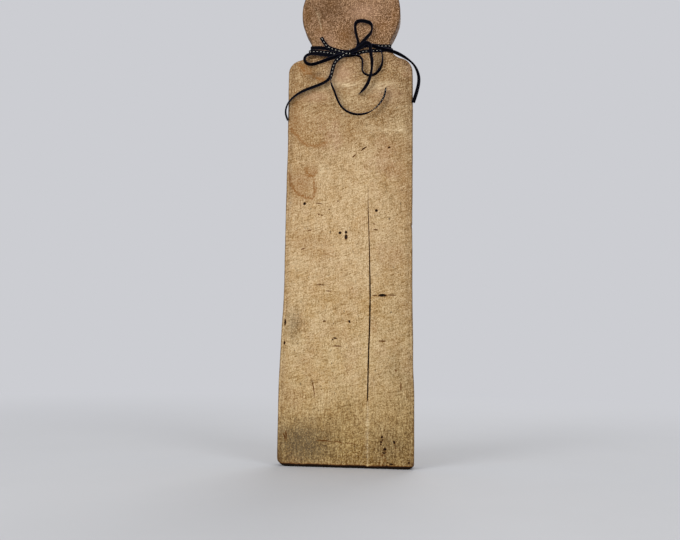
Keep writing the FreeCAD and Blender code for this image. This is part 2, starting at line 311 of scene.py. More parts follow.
# Cuts, gouges and pits in the face: where each runs from and to (across, up), half width, depth
# and how dark the dirt in it is, or below zero how pale it's scuffed
MARKS = [
    ((0.0112, 0.2965), (0.0172, 0.3013), 0.00055, 0.0006, 0.75),
    ((0.0030, 0.2900), (0.0068, 0.2938), 0.00045, 0.0004, 0.56),
    ((0.0366, 0.2990), (0.0398, 0.3003), 0.00080, 0.0005, 0.8),
    ((-0.0425, 0.2441), (-0.0416, 0.2475), 0.00115, 0.0009, 1.0),
    ((0.0260, 0.2373), (0.0273, 0.2403), 0.00120, 0.0009, 1.0),
    ((-0.0082, 0.2159), (-0.0072, 0.2192), 0.00115, 0.0009, 1.0),
    ((-0.0021, 0.2198), (-0.0021, 0.2164), 0.00100, 0.0009, 1.0),
    ((-0.0021, 0.2166), (-0.0020, 0.2106), 0.00130, 0.0009, 0.9),
    ((0.0013, 0.1333), (0.0032, 0.1342), 0.00125, 0.0009, 1.0),
    ((-0.0325, 0.2458), (-0.0242, 0.2455), 0.00035, 0.0003, 0.48),
    ((-0.0299, 0.2362), (-0.0270, 0.2345), 0.00050, 0.0003, 0.48),
    ((-0.0272, 0.2346), (-0.0240, 0.2341), 0.00035, 0.0003, 0.48),
    ((-0.0195, 0.2396), (-0.0170, 0.2403), 0.00045, 0.0003, 0.48),
    ((-0.0103, 0.2470), (-0.0098, 0.2490), 0.00055, 0.0003, 0.48),
    ((-0.0308, 0.1678), (-0.0203, 0.1679), 0.00040, 0.0003, 0.48),
    ((-0.0212, 0.1622), (-0.0145, 0.1620), 0.00040, 0.0003, 0.48),
    ((-0.0138, 0.1105), (-0.0034, 0.1108), 0.00045, 0.0003, 0.52),
    ((0.0290, 0.1157), (0.0372, 0.1159), 0.00045, 0.0003, 0.6),
    ((0.0283, 0.1582), (0.0374, 0.1585), 0.00115, 0.0009, 1.0),
    ((0.0228, 0.1583), (0.0290, 0.1583), 0.00035, 0.0003, 0.56),
    ((0.0368, 0.1585), (0.0460, 0.1587), 0.00035, 0.0003, 0.56),
    ((0.0232, 0.2204), (0.0288, 0.2204), 0.00045, 0.0004, 0.56),
    ((0.0225, 0.2262), (0.0262, 0.2255), 0.00045, 0.0003, 0.4),
    ((-0.0135, 0.1181), (-0.0090, 0.1182), 0.00060, 0.0005, 0.9),
    ((-0.0132, 0.1183), (-0.0130, 0.1158), 0.00055, 0.0004, 0.9),
    ((-0.0230, 0.1337), (-0.0196, 0.1341), 0.00060, 0.0005, 0.64),
    ((-0.0334, 0.0814), (-0.0284, 0.0617), 0.00035, 0.0003, 0.48),
    ((-0.0395, 0.2190), (-0.0342, 0.2206), 0.00035, 0.0003, 0.48),
    ((-0.0455, 0.2010), (-0.0402, 0.2032), 0.00050, 0.0003, 0.48),
    ((0.0336, 0.0300), (0.0333, 0.0266), 0.00090, 0.0006, 1.0),
    ((0.0330, 0.0268), (0.0348, 0.0256), 0.00080, 0.0005, 0.9),
    ((0.0332, 0.0252), (0.0322, 0.0229), 0.00090, 0.0005, 1.0),
    ((0.0322, 0.0231), (0.0328, 0.0210), 0.00066, 0.0005, 0.9),
    ((0.0359, 0.0194), (0.0364, 0.0150), 0.00145, 0.0009, 1.0),
    ((0.0380, 0.0158), (0.0334, 0.0138), 0.00100, 0.0007, 1.0),
    ((0.0340, 0.0142), (0.0338, 0.0104), 0.00066, 0.0004, 0.56),
    ((0.0363, 0.0110), (0.0365, 0.0052), 0.00054, 0.0003, 0.4),
    ((0.0440, 0.0262), (0.0451, 0.0219), 0.00072, 0.0005, 1.0),
    ((0.0455, 0.0200), (0.0462, 0.0180), 0.00048, 0.0003, 0.48),
    ((0.0303, 0.0055), (0.0318, 0.0051), 0.00066, 0.0004, 0.64),
    ((0.0383, 0.0060), (0.0392, 0.0052), 0.00054, 0.0004, 0.9),
    ((0.0398, 0.0043), (0.0444, 0.0043), 0.00060, 0.0005, 1.0),
    ((0.0570, 0.0056), (0.0594, 0.0064), 0.00078, 0.0006, 1.0),
    ((-0.0562, 0.0330), (-0.0548, 0.0225), 0.00045, 0.0004, 0.6),
    ((-0.0588, 0.0310), (-0.0550, 0.0225), 0.00045, 0.0004, 0.6),
    ((-0.0276, 0.0238), (-0.0124, 0.0236), 0.00035, 0.0003, 0.6),
    ((-0.0124, 0.0236), (-0.0003, 0.0221), 0.00030, 0.0003, 0.44),
    ((-0.0003, 0.0221), (0.0110, 0.0213), 0.00030, 0.0002, 0.4),
    ((-0.0586, 0.1360), (-0.0584, 0.1290), 0.00065, 0.0006, 0.9),
    ((-0.0588, 0.1152), (-0.0587, 0.1112), 0.00060, 0.0005, 0.9),
    ((0.0500, 0.0790), (0.0505, 0.0700), 0.00050, 0.0003, 0.48),
    ((0.0455, 0.0905), (0.0462, 0.0880), 0.00070, 0.0004, 0.48),
    ((-0.0367, 0.4423), (-0.0273, 0.4159), 0.00050, 0.0001, -0.75),
    ((-0.0331, 0.4400), (-0.0296, 0.4281), 0.00040, 0.0001, -0.6),
]

# Edges of old wet stains on the face, as points (across, up)
TIDES = [
    [(-0.0573, 0.3197), (-0.0512, 0.3127), (-0.0444, 0.3046), (-0.0370, 0.3020), (-0.0288, 0.3026),
     (-0.0235, 0.3050)],
    [(-0.0575, 0.2760), (-0.0560, 0.2640), (-0.0500, 0.2560), (-0.0420, 0.2520), (-0.0345, 0.2505),
     (-0.0325, 0.2580), (-0.0335, 0.2680)],
    [(-0.0410, 0.2800), (-0.0405, 0.2740), (-0.0350, 0.2725), (-0.0310, 0.2770)],
    [(-0.0500, 0.3865), (-0.0490, 0.3830), (-0.0462, 0.3790), (-0.0445, 0.3745)],
    [(-0.0410, 0.3752), (-0.0360, 0.3728), (-0.0330, 0.3700), (-0.0270, 0.3672), (-0.0225, 0.3655)],
]

# Stains of each kind: across, up, half width, half height and strength
STAINS = {
    "grime": [
        (-0.05, 0.131, 0.007, 0.014, 0.5),
        (-0.038, 0.019, 0.028, 0.018, 0.74),
        (-0.05, 0.03, 0.014, 0.012, 0.22),
        (0.04, 0.02, 0.018, 0.016, 0.35),
        (0.054, 0.075, 0.008, 0.012, 0.2),
        (0.045, 0.095, 0.01, 0.012, 0.22),
    ],
    "warm": [
        (-0.046, 0.264, 0.012, 0.013, 0.62),
        (-0.036, 0.277, 0.006, 0.006, 0.46),
        (-0.045, 0.322, 0.02, 0.018, 0.3),
        (0.042, 0.3, 0.016, 0.009, 0.3),
        (0.045, 0.279, 0.014, 0.009, 0.24),
        (0.0, 0.311, 0.008, 0.008, 0.22),
        (-0.043, 0.211, 0.014, 0.009, 0.24),
        (-0.047, 0.3815, 0.0038, 0.0033, 0.95),
        (-0.04, 0.378, 0.005, 0.005, 0.55),
        (-0.028, 0.368, 0.004, 0.003, 0.75),
        (-0.054, 0.34, 0.006, 0.03, 0.25),
        (-0.012, 0.334, 0.012, 0.01, 0.15),
        (0.025, 0.129, 0.004, 0.007, 0.45),
        (0.042, 0.194, 0.014, 0.009, 0.32),
        (-0.03, 0.2, 0.012, 0.01, 0.15),
        (-0.058, 0.09, 0.006, 0.04, 0.2),
        (0.055, 0.15, 0.007, 0.012, 0.22),
        (0.053, 0.255, 0.009, 0.024, 0.26),
        (-0.0424, 0.433, 0.004, 0.007, 0.45),
        (-0.0288, 0.4175, 0.005, 0.005, 0.35),
        (-0.0055, 0.411, 0.006, 0.007, 0.4),
        (-0.0198, 0.444, 0.005, 0.006, 0.3),
        (0.0421, 0.43, 0.004, 0.012, 0.3),
        (0.03, 0.42, 0.008, 0.006, 0.25),
    ],
    "edge": [
        (-0.0365, 0.3715, 0.005, 0.0042, 0.72),
        (-0.03, 0.374, 0.003, 0.002, 0.65),
        (-0.04, 0.45, 0.016, 0.034, 0.38),
        (-0.018, 0.44, 0.016, 0.012, 0.46),
        (-0.012, 0.462, 0.022, 0.014, 0.38),
        (-0.002, 0.405, 0.006, 0.012, 0.36),
        (-0.022, 0.428, 0.022, 0.02, 0.34),
        (0.053, 0.352, 0.008, 0.02, 0.14),
        (-0.057, 0.262, 0.006, 0.022, 0.14),
        (0.03, 0.404, 0.012, 0.006, 0.22),
        (0.034, 0.436, 0.008, 0.014, 0.18),
        (-0.0625, 0.0065, 0.0035, 0.0075, 0.9),
        (0.0615, 0.004, 0.003, 0.0045, 0.8),
    ],
    "blush": [
        (-0.034, 0.351, 0.013, 0.005, 0.5),
        # The next patch, just right of the ribbon's left tail where it hangs down, is painted shadow in
        # the blush colour
        (-0.01, 0.373, 0.012, 0.011, 0.5),
        (0.036, 0.352, 0.014, 0.008, 0.35),
        (-0.022, 0.405, 0.009, 0.009, 0.5),
        (0.012, 0.436, 0.016, 0.009, 0.55),
    ],
    "scuff": [
        (-0.007, 0.3622, 0.012, 0.0032, 0.8),
        (0.028, 0.3605, 0.013, 0.004, 0.62),
        (0.046, 0.3165, 0.011, 0.0022, 0.75),
        (0.02, 0.318, 0.012, 0.003, 0.25),
        (-0.025, 0.278, 0.005, 0.006, 0.6),
        (-0.048, 0.186, 0.007, 0.008, 0.45),
        (-0.012, 0.205, 0.014, 0.006, 0.25),
        (0.0202, 0.036, 0.0008, 0.028, 0.5),
    ],
}

# Where the hand-cut outline leaves its line: across, up, how far along the edge, and how far out
STRAYS = [
    (0.056, 0.386, 0.012, -0.0007),
    (-0.040, 0.412, 0.010, 0.0006),
    (0.042, 0.414, 0.010, -0.0004),
    (-0.060, 0.300, 0.030, -0.0005),
    (-0.061, 0.130, 0.024, 0.0008),
    (0.061, 0.093, 0.018, -0.0007),
    (0.061, 0.135, 0.022, 0.0005),
    (0.060, 0.180, 0.030, 0.0003),
    (0.059, 0.225, 0.0018, -0.0010),
]


# How far from its narrowest point the neck keeps its line for the ribbon's turns, and how far on
# it takes to be as worn as the rest
NECK_BAND = 0.012
NECK_FADE = 0.010

# The distance between the outline's points
OUTLINE_STEP = 0.0012

# The lips of a groove beyond its half width, the steps of a mark and of the crack, and how far
# the crack wanders with the grain
LIP = 0.0004
MARK_STEP = 0.0009
CRACK_STEP = 0.0022
CRACK_WANDER = 0.00012

# The crack is open where its half width or its height is over these, and darker the wider it is,
# by its half width as a share of the last. Elsewhere it's only a pale scratch.
OPEN_HALF = 0.0001
OPEN_ABOVE = 0.2
DARK_HALF = 0.00045

# The mean depth of the face's broad hollows and of the plane's scrapes
HOLLOWS = 0.00016
SCRAPES = 0.00005

# How strong and wide the edge of a wet stain is, and the dirt along the face's sides
TIDE_STRENGTH = 1.2
TIDE_WIDTH = 0.0012
EDGE_DIRT = 0.45
EDGE_DIRT_WIDTH = 0.006

# The dark band along the bottom of the foot, partly dirt and partly painted shadow where the board
# meets the floor, is full up to one height and ends at another
FOOT_DIRT_AND_SHADE_FULL = 0.0023
FOOT_DIRT_AND_SHADE_END = 0.0035

# The seeds of the two faces' loose points, and how much wider the back's are set
FRONT_POINTS = 11
BACK_POINTS = 12
BACK_SPACING = 1.6


def circles(board):
    """The centres (across, up) of the right shoulder, the right notch and the knob."""
    shoulder = Vector((board.blade_half - board.shoulder_radius,
                       board.blade_height - board.shoulder_radius))
    knob = Vector((0, BOARD_HIGH.z - board.knob_radius))
    to_knob = board.knob_radius + board.notch_radius
    to_shoulder = board.shoulder_radius + board.notch_radius
    apart = (shoulder - knob).length
    along = (to_knob**2 - to_shoulder**2 + apart**2) / (2 * apart)
    aside = math.sqrt(to_knob**2 - along**2)
    direction = (shoulder - knob) / apart
    notch = knob + direction * along + Vector((-direction.y, direction.x)) * aside
    return shoulder, notch, knob


def arc(centre, radius, start, end, step):
    """Points and outward normals along an arc. A turn that runs clockwise is hollow."""
    count = max(3, math.ceil(abs(end - start) * radius / step))
    points = []
    for i in range(count):
        angle = start + (end - start) * i / count
        away = Vector((math.cos(angle), math.sin(angle)))
        points.append((centre + away * radius, away if end > start else -away))
    return points


def straight(start, end, normal, step):
    count = max(2, math.ceil((end - start).length / step))
    return [(start.lerp(end, i / count), normal) for i in range(count)]


def half_outline(board, foot_half, foot_corner, step):
    """Points and normals up the right half, from the middle of the foot to the top of the knob."""
    shoulder, notch, knob = circles(board)
    side = Vector((1, 0))
    corner = Vector((foot_half - foot_corner, foot_corner))
    to_notch = math.atan2(*(notch - shoulder).yx)
    from_knob = math.atan2(*(notch - knob).yx)
    points = straight(Vector((0, 0)), Vector((corner.x, 0)), Vector((0, -1)), step)
    points += arc(corner, foot_corner, -math.pi / 2, 0, step / 2)
    points += straight(Vector((foot_half, foot_corner)), Vector((foot_half, board.flare_bottom)),
                       side, step)
    rise = board.flare_top - board.flare_bottom
    count = math.ceil(rise / step)
    for i in range(count):
        ease = (1 + math.cos(math.pi * i / count)) / 2
        across = board.blade_half + (foot_half - board.blade_half) * ease
        points.append((Vector((across, board.flare_bottom + rise * i / count)), side))
    points += straight(Vector((board.blade_half, board.flare_top)),
                       Vector((board.blade_half, shoulder.y)), side, step)
    points += arc(shoulder, board.shoulder_radius, 0, to_notch, step)
    points += arc(notch, board.notch_radius, to_notch + math.pi, from_knob + math.pi, step * 0.8)
    points += arc(knob, board.knob_radius, from_knob, math.pi / 2, step)
    return points


def near_neck(up, board):
    """1 at the neck, where the ribbon's turns lie, and 0 away from it."""
    neck = circles(board)[1].y
    return max(0.0, 1 - max(0.0, abs(up - neck) - NECK_BAND) / NECK_FADE)


def strayed(points, board):
    """The outline as a hand saw left it."""
    moved = []
    for point, normal in points:
        place = Vector((point.x, 0, point.y))
        slow = noise.noise(place * 28 + Vector((3, 7, 1)))
        quick = noise.noise(place * 160)
        push = board.stray * (1.1 * slow + 0.45 * quick)
        for across, up, reach, out in STRAYS:
            distance = (point - Vector((across, up))).length
            push += out * math.exp(-((distance / reach) ** 2))
        push += board.fullness
        push *= 1 - near_neck(point.y, board)
        if point.y < board.foot_corner_right and normal.y < -0.5:
            push = min(push, 0)
        moved.append((point + normal * push, normal))
    return moved


def outline(board, step):
    """The whole outline, from the middle of the foot round by the right-hand side."""
    right = half_outline(board, BOARD_HIGH.x, board.foot_corner_right, step)
    left = half_outline(board, -BOARD_LOW.x, board.foot_corner_left, step)
    top = (circles(board)[2] + Vector((0, board.knob_radius)), Vector((0, 1)))
    mirrored = [(Vector((-p.x, p.y)), Vector((-n.x, n.y))) for p, n in reversed(left[1:])]
    return strayed(right + [top] + mirrored, board)


def widths(ring, up):
    """Where the ring's left and right side are at a height, or None above or below it."""
    crossings = []
    for start, end in zip(ring, ring[1:] + ring[:1]):
        if (start.y <= up) != (end.y <= up):
            crossings.append(start.x + (end.x - start.x) * (up - start.y) / (end.y - start.y))
    return (min(crossings), max(crossings)) if crossings else None


class FaceMesh:
    """The points and lines of a face before they are joined into triangles."""

    # How far the grid's own points keep off a mark, how far they stay inside the face's sides and
    # how far they stray as shares of their spacing, and the step of height at which the sides are
    # looked up
    CLEARANCE = 0.001
    INSET = 0.6
    LOOSENESS = 0.3
    ROW = 0.002

    def __init__(self, ring):
        self.ring = ring
        self.points = list(ring)
        self.depths = [0.0] * len(ring)
        self.darks = [0.0] * len(ring)
        self.lines = [(i, (i + 1) % len(ring)) for i in range(len(ring))]
        self.busy = set()
        self.sides = {}

    def add(self, point, depth=0.0, dark=0.0):
        self.points.append(point)
        self.depths.append(depth)
        self.darks.append(dark)
        return len(self.points) - 1

    def cell(self, point):
        return round(point.x / self.CLEARANCE), round(point.y / self.CLEARANCE)

    def crowd(self, point):
        """Keeps the grid's own points away from a mark."""
        across, up = self.cell(point)
        self.busy.update((across + i, up + j) for i in (-1, 0, 1) for j in (-1, 0, 1))

    def groove(self, path):
        """A groove along (point, half width, depth, dark), whose lips are level with the face."""
        rows = []
        for i, (point, half, depth, dark) in enumerate(path):
            before = path[max(i - 1, 0)][0]
            after = path[min(i + 1, len(path) - 1)][0]
            along = (after - before).normalized()
            aside = Vector((-along.y, along.x))
            row = [self.add(point, depth, dark)]
            for side in (-1, 1):
                row.append(self.add(point + aside * (side * half * 0.9), depth * 0.2, dark))
                row.append(self.add(point + aside * (side * (half + LIP)), 0.0, 0.0))
            self.crowd(point)
            rows.append(row)
        for row, following in zip(rows, rows[1:]):
            self.lines += list(zip(row, following))

    def mark(self, start, end, half, depth, dark):
        """A cut that tapers to a point at both ends."""
        start, end = Vector(start), Vector(end)
        count = max(4, round((end - start).length / MARK_STEP))
        path = []
        for i in range(count + 1):
            share = i / count
            swell = 0.12 + 0.88 * math.sin(math.pi * share) ** 0.6
            bend = (end - start).orthogonal() * (0.03 * math.sin(math.pi * share * 1.3))
            path.append((start.lerp(end, share) + bend, half * swell, depth * swell, dark * swell))
        self.groove(path)

    def grid(self, spacing, seed):
        """Fills the rest of the face with points that are a little out of line."""
        chance = random.Random(seed)
        low = min(point.y for point in self.ring)
        high = max(point.y for point in self.ring)
        rows = math.floor((high - low) / spacing)
        for row in range(1, rows):
            up = low + row * spacing
            sides = widths(self.ring, up)
            left, right = sides[0] + spacing * self.INSET, sides[1] - spacing * self.INSET
            columns = max(1, round((right - left) / spacing))
            for column in range(columns + 1):
                across = left + (right - left) * column / columns
                loose = self.LOOSENESS * spacing if 0 < column < columns else 0
                point = Vector((across + chance.uniform(-loose, loose),
                                up + chance.uniform(-loose, loose)))
                if self.cell(point) not in self.busy:
                    self.add(point)

    def nearness(self, point, reach):
        """1 beside the left or the right edge of the face, falling to 0 at a distance."""
        row = round(point.y / self.ROW)
        if row not in self.sides:
            self.sides[row] = widths(self.ring, row * self.ROW)
        if not self.sides[row]:
            return 0.0
        left, right = self.sides[row]
        return max(0.0, 1 - max(0.0, min(point.x - left, right - point.x)) / reach)

    def triangles(self):
        """Points, triangles, and the depth and dark of each point."""
        only_inside, same_point = 1, 1e-7
        result = delaunay_2d_cdt(self.points, self.lines, [], only_inside, same_point)
        points, faces, sources = result[0], result[2], result[3]
        depths = [max((self.depths[i] for i in source), default=0.0) for source in sources]
        darks = [max((self.darks[i] for i in source), default=0.0) for source in sources]
        return points, faces, depths, darks


def crack_path():
    """The crack from its top down to the foot, in steps short enough to wander with the grain."""
    path = []
    for (x0, z0, w0, d0), (x1, z1, w1, d1) in zip(CRACK, CRACK[1:]):
        count = max(1, round((z0 - z1) / CRACK_STEP))
        for i in range(count):
            share = i / count
            up = z0 + (z1 - z0) * share
            across = x0 + (x1 - x0) * share + CRACK_WANDER * noise.noise(Vector((up * 260, 5, 2)))
            swell = 1 + 0.35 * noise.noise(Vector((up * 120, 1, 9)))
            is_open = w0 > OPEN_HALF or up > OPEN_ABOVE
            dark = min(1.0, 0.25 + w0 / DARK_HALF) if is_open else -1.0
            path.append((Vector((across, up)), (w0 + (w1 - w0) * share) * swell,
                         (d0 + (d1 - d0) * share) * swell, dark))
    return path


def rim_radius(board, point, seed):
    """How far the edge is worn round at a point of the outline."""
    wear = noise.noise(Vector((point.x * 60, seed, point.y * 60)))
    return board.rounding * (1 + 0.35 * wear * (1 - near_neck(point.y, board)))


def relief(point, board):
    """How far the hand-planed face lies behind its level."""
    place = Vector((point.x, 0, point.y))
    hollow = HOLLOWS * (1 + noise.noise(place * 14 + Vector((0, 4, 0))))
    scrape = SCRAPES * (1 + noise.noise(Vector((point.x * 120, 2, point.y * 24))))
    return (hollow + scrape) * (1 - near_neck(point.y, board))


def tide(point):
    """How strongly the edge of a wet stain shows at a point of the face."""
    total = 0.0
    for line in TIDES:
        for start, end in zip(line, line[1:]):
            nearest, share = intersect_point_line(point, Vector(start), Vector(end))
            nearest = Vector(start).lerp(Vector(end), min(max(share, 0.0), 1.0))
            away = (point - nearest).length / TIDE_WIDTH
            total = max(total, TIDE_STRENGTH * math.exp(-(away**2)))
    return total


def stain(point, kind):
    """How strongly the stains of a kind show at a point of the face."""
    total = tide(point) if kind == "warm" else 0.0
    place = Vector((point.x, 0, point.y))
    ragged = 1 + 0.55 * noise.noise(place * 110) + 0.35 * noise.noise(place * 330)
    for across, up, wide, high, strength in STAINS[kind]:
        reach = ((point.x - across) / wide) ** 2 + ((point.y - up) / high) ** 2
        total += strength * math.exp(-reach * ragged)
    return min(total, 1.0)


class BoardMesh:
    """Gathers the board's points with their wear, and its faces."""

    KINDS = ("dark", "edge", "grime", "warm", "blush", "scuff")

    def __init__(self):
        self.points = []
        self.faces = []
        self.wear = {kind: [] for kind in self.KINDS}

    def add(self, across, out, up, **wear):
        self.points.append((across, out, up))
        for kind in self.KINDS:
            self.wear[kind].append(wear.get(kind, 0.0))
        return len(self.points) - 1

    def bridge(self, ring, following):
        for i in range(len(ring)):
            j = (i + 1) % len(ring)
            self.faces.append((ring[i], ring[j], following[j], following[i]))

    def finish(self, name):
        mesh = bpy.data.meshes.new(name)
        mesh.from_pydata(self.points, [], self.faces)
        for kind, values in self.wear.items():
            mesh.attributes.new(kind, "FLOAT", "POINT").data.foreach_set("value", values)
        smooth(mesh, 38)
        mesh.update()
        return mesh


# How finely the rims and the wall are divided, which draw of wear each rim takes, the mean depth
# of the saw's marks in the wall, and how much darker it is
RIM_STEPS = 5
WALL_STEPS = 6
FRONT_SEED = 0
BACK_SEED = 5
SAW_MARKS = 0.00012
WALL_DARKENING = 0.75


def rim_ring(board, around, seed, angle, level, inward):
    """A ring of a worn rim, at an angle from level with the face (0) to level with the wall."""
    ring = []
    for point, _ in around:
        radius = rim_radius(board, point, seed)
        depth = level + inward * radius * (1 - math.cos(angle))
        # The rim is darker the further it turns from the face towards the side
        ring.append((radius * (1 - math.sin(angle)), depth, math.sin(angle) ** 1.5))
    return ring


def wall_ring(board, around, share):
    """A ring of the saw-rough wall, at a share of the way from the front rim to the back rim."""
    ring = []
    for point, _ in around:
        front = FACE + rim_radius(board, point, FRONT_SEED)
        back = BACK - rim_radius(board, point, BACK_SEED)
        saw = SAW_MARKS * (1 + noise.noise(Vector((point.x * 300, share * 5, point.y * 300))))
        saw *= 1 - near_neck(point.y, board)
        ring.append((saw, front + (back - front) * share, WALL_DARKENING))
    return ring


def board_rings(board, around):
    """The inset, depth and darkening of each ring from the face's rim round to the back's."""
    rounds = [math.pi / 2 * step / RIM_STEPS for step in range(RIM_STEPS + 1)]
    rings = [rim_ring(board, around, FRONT_SEED, angle, FACE, 1) for angle in rounds]
    rings += [wall_ring(board, around, step / WALL_STEPS) for step in range(1, WALL_STEPS)]
    back = [math.pi / 2 * (1 - step / RIM_STEPS) for step in range(RIM_STEPS + 1)]
    return rings + [rim_ring(board, around, BACK_SEED, angle, BACK, -1) for angle in back]


def fill_face(board, mesh, ring, face, is_front):
    """Joins a face's triangles to the ring of points round it."""
    points, triangles, depths, darks = face.triangles()
    places = {}
    for index, point in enumerate(points):
        if index < len(ring):
            places[index] = ring[index]
            continue
        back = relief(point, board) + depths[index]
        if is_front:
            wear = {kind: stain(point, kind) for kind in STAINS}
            rubbed = face.nearness(point, EDGE_DIRT_WIDTH) ** 2 * EDGE_DIRT
            wear["edge"] = min(1.0, wear["edge"] + rubbed)
            wear["dark"] = max(darks[index], 0.0)
            wear["scuff"] = max(wear["scuff"], -darks[index])
            places[index] = mesh.add(point.x, FACE + back, point.y, **wear)
        else:
            places[index] = mesh.add(point.x, BACK - back, point.y)
    for triangle in triangles:
        corners = [places[index] for index in triangle]
        mesh.faces.append(tuple(corners) if is_front else tuple(reversed(corners)))


def inner_face(mesh, ring):
    """The face inside a ring of the board's points."""
    return FaceMesh([Vector((mesh.points[i][0], mesh.points[i][2])) for i in ring])


def board_mesh(board):
    """The plank, with its worn rims, saw-rough sides, and face of cuts, pits and crack."""
    mesh = BoardMesh()
    around = outline(board, OUTLINE_STEP)
    rings = []
    for row in board_rings(board, around):
        ring = []
        for (point, normal), (inset, out, edge) in zip(around, row):
            place = point - normal * inset
            wear = {kind: stain(point, kind) for kind in ("grime", "warm")}
            edge = min(1.0, edge + stain(point, "edge"))
            # Darker towards the bottom of the foot: dirt, and painted shadow where the board meets the
            # floor
            dirt_and_shade = (FOOT_DIRT_AND_SHADE_END - place.y) / (FOOT_DIRT_AND_SHADE_END - FOOT_DIRT_AND_SHADE_FULL)
            wear["dark"] = min(1.0, max(0.0, dirt_and_shade))
            ring.append(mesh.add(place.x, out, place.y, edge=edge, **wear))
        rings.append(ring)
    for ring, following in zip(rings, rings[1:]):
        mesh.bridge(ring, following)
    front = inner_face(mesh, rings[0])
    foot = min(point.y for point in front.ring)
    front.groove([step for step in crack_path() if step[0].y > foot + LIP])
    for start, end, half, depth, dark in MARKS:
        front.mark(start, end, half, depth, dark)
    front.grid(board.grid, FRONT_POINTS)
    fill_face(board, mesh, rings[0], front, True)
    back = inner_face(mesh, rings[-1])
    back.grid(board.grid * BACK_SPACING, BACK_POINTS)
    fill_face(board, mesh, rings[-1], back, False)
    return mesh.finish("board")


Pattern = namedtuple("Pattern", "way scale detail roughness dark tint pale", defaults=(None,))

# The wood's patterns of noise. Each has the way it runs, its scale along each axis per metre, its
# detail and roughness, where its dark places start and are full and how strong they are, their
# tint, and the same three numbers for its pale places.
PATTERNS = {
    "patches": Pattern("upright", (48, 48, 38), 6, 0.65, (0.42, 0.68, 1.0), (0.87, 0.79, 0.64),
                       (0.50, 0.28, 0.30)),
    "lines": Pattern("upright", (420, 420, 7), 3, 0.6, (0.46, 0.70, 0.55), (0.84, 0.79, 0.69)),
    "strokes": Pattern("slanted", (170, 170, 760), 3, 0.6, (0.50, 0.66, 1.0), (0.83, 0.78, 0.67),
                       (0.46, 0.32, 0.28)),
    "threads": Pattern("upright", (900, 900, 150), 2, 0.5, (0.50, 0.66, 1.0), (0.80, 0.77, 0.70),
                       (0.44, 0.30, 0.22)),
    "cross_threads": Pattern("slanted", (150, 150, 900), 2, 0.5, (0.50, 0.66, 1.0),
                             (0.80, 0.77, 0.70), (0.44, 0.30, 0.22)),
    "mottle": Pattern("upright", (260, 260, 220), 3, 0.65, (0.52, 0.72, 0.7), (0.83, 0.75, 0.60)),
    "speckle": Pattern("upright", (760, 760, 640), 1, 0.5, (0.48, 0.68, 1.0), (0.70, 0.65, 0.55),
                       (0.42, 0.28, 0.4)),
    "coarse": Pattern("moved", (430, 430, 330), 3, 0.7, (0.46, 0.66, 1.0), (0.64, 0.57, 0.47)),
    "fine": Pattern("moved", (900, 900, 700), 2, 0.6, (0.48, 0.64, 1.0), (0.74, 0.68, 0.58),
                    (0.46, 0.32, 0.35)),
    "grain": Pattern("upright", (1050, 1050, 950), 0, 0.55, (0.52, 0.68, 0.8), (0.70, 0.67, 0.62),
                     (0.46, 0.30, 0.36)),
    "fibres": Pattern("upright", (1000, 1000, 120), 2, 0.5, (0.48, 0.64, 1.0), (0.80, 0.75, 0.66),
                      (0.46, 0.30, 0.25)),
}


def patterned(tree, shade, name, noises, pale, where=None):
    """A shade with a pattern's dark and pale places, all over or only where it's asked for."""
    pattern = PATTERNS[name]

    def places(start, full, strength):
        amount = between(tree, noises[name], start, full, 0.0, strength)
        return times(tree, where, amount) if where else amount

    shade = tinted(tree, shade, places(*pattern.dark), pattern.tint)
    return mixed(tree, places(*pattern.pale), shade, pale) if pattern.pale else shade


def wood_tones(tree, wood, axes, level):
    """The plain wood from the foot up, darker at its right, with painted shade on the knob's right
    wall.
    """
    base = rgba(wood.foot)
    for colour_above, low, high in (
        (wood.low, 0.006, 0.075),
        (wood.blade, 0.10, 0.20),
        (wood.shoulder, 0.235, 0.375),
        (wood.knob, 0.375, 0.425),
    ):
        base = mixed(tree, between(tree, level, low, high), base, rgba(colour_above))
    base = tinted(tree, base, between(tree, axes["X"], 0.010, 0.058), (0.79, 0.76, 0.70))
    # Painted shade: the knob's right wall, just behind the face's rim, is darkened
    wall = times(tree, between(tree, axes["X"], 0.032, 0.034), between(tree, axes["Z"], 0.388, 0.398))
    sunk = between(tree, axes["Y"], FACE + 0.0002, FACE + 0.0022)
    return tinted(tree, base, times(tree, wall, sunk), (0.66, 0.60, 0.50))


def wood_wear(tree, wood, base, noises):
    """The wood with its stains, dirt, scuffs and cuts, which the grain breaks up."""
    broken = between(tree, noises["speckle"], 0.30, 0.65, 0.5, 1.1)
    frayed = times(tree, between(tree, noises["strokes"], 0.62, 0.38, 0.2, 1.1), broken)
    dirty = between(tree, noises["coarse"], 0.30, 0.62, 0.45, 0.95)
    for kind, shade, pattern in (
        ("blush", wood.blush, broken),
        ("warm", wood.warm, broken),
        ("grime", wood.grime, broken),
        ("scuff", wood.scuff, frayed),
        ("edge", wood.edge, dirty),
    ):
        base = mixed(tree, times(tree, attribute(tree, kind), pattern), base, rgba(shade))
    # The dark attribute holds the dirt in the cuts and the crack, and the band of dirt and painted
    # shadow along the foot's bottom
    dark = attribute(tree, "dark")
    base = mixed(tree, between(tree, dark, 0.0, 0.55), base, rgba(wood.cut_edge))
    return mixed(tree, between(tree, dark, 0.35, 0.95), base, rgba(wood.cut))


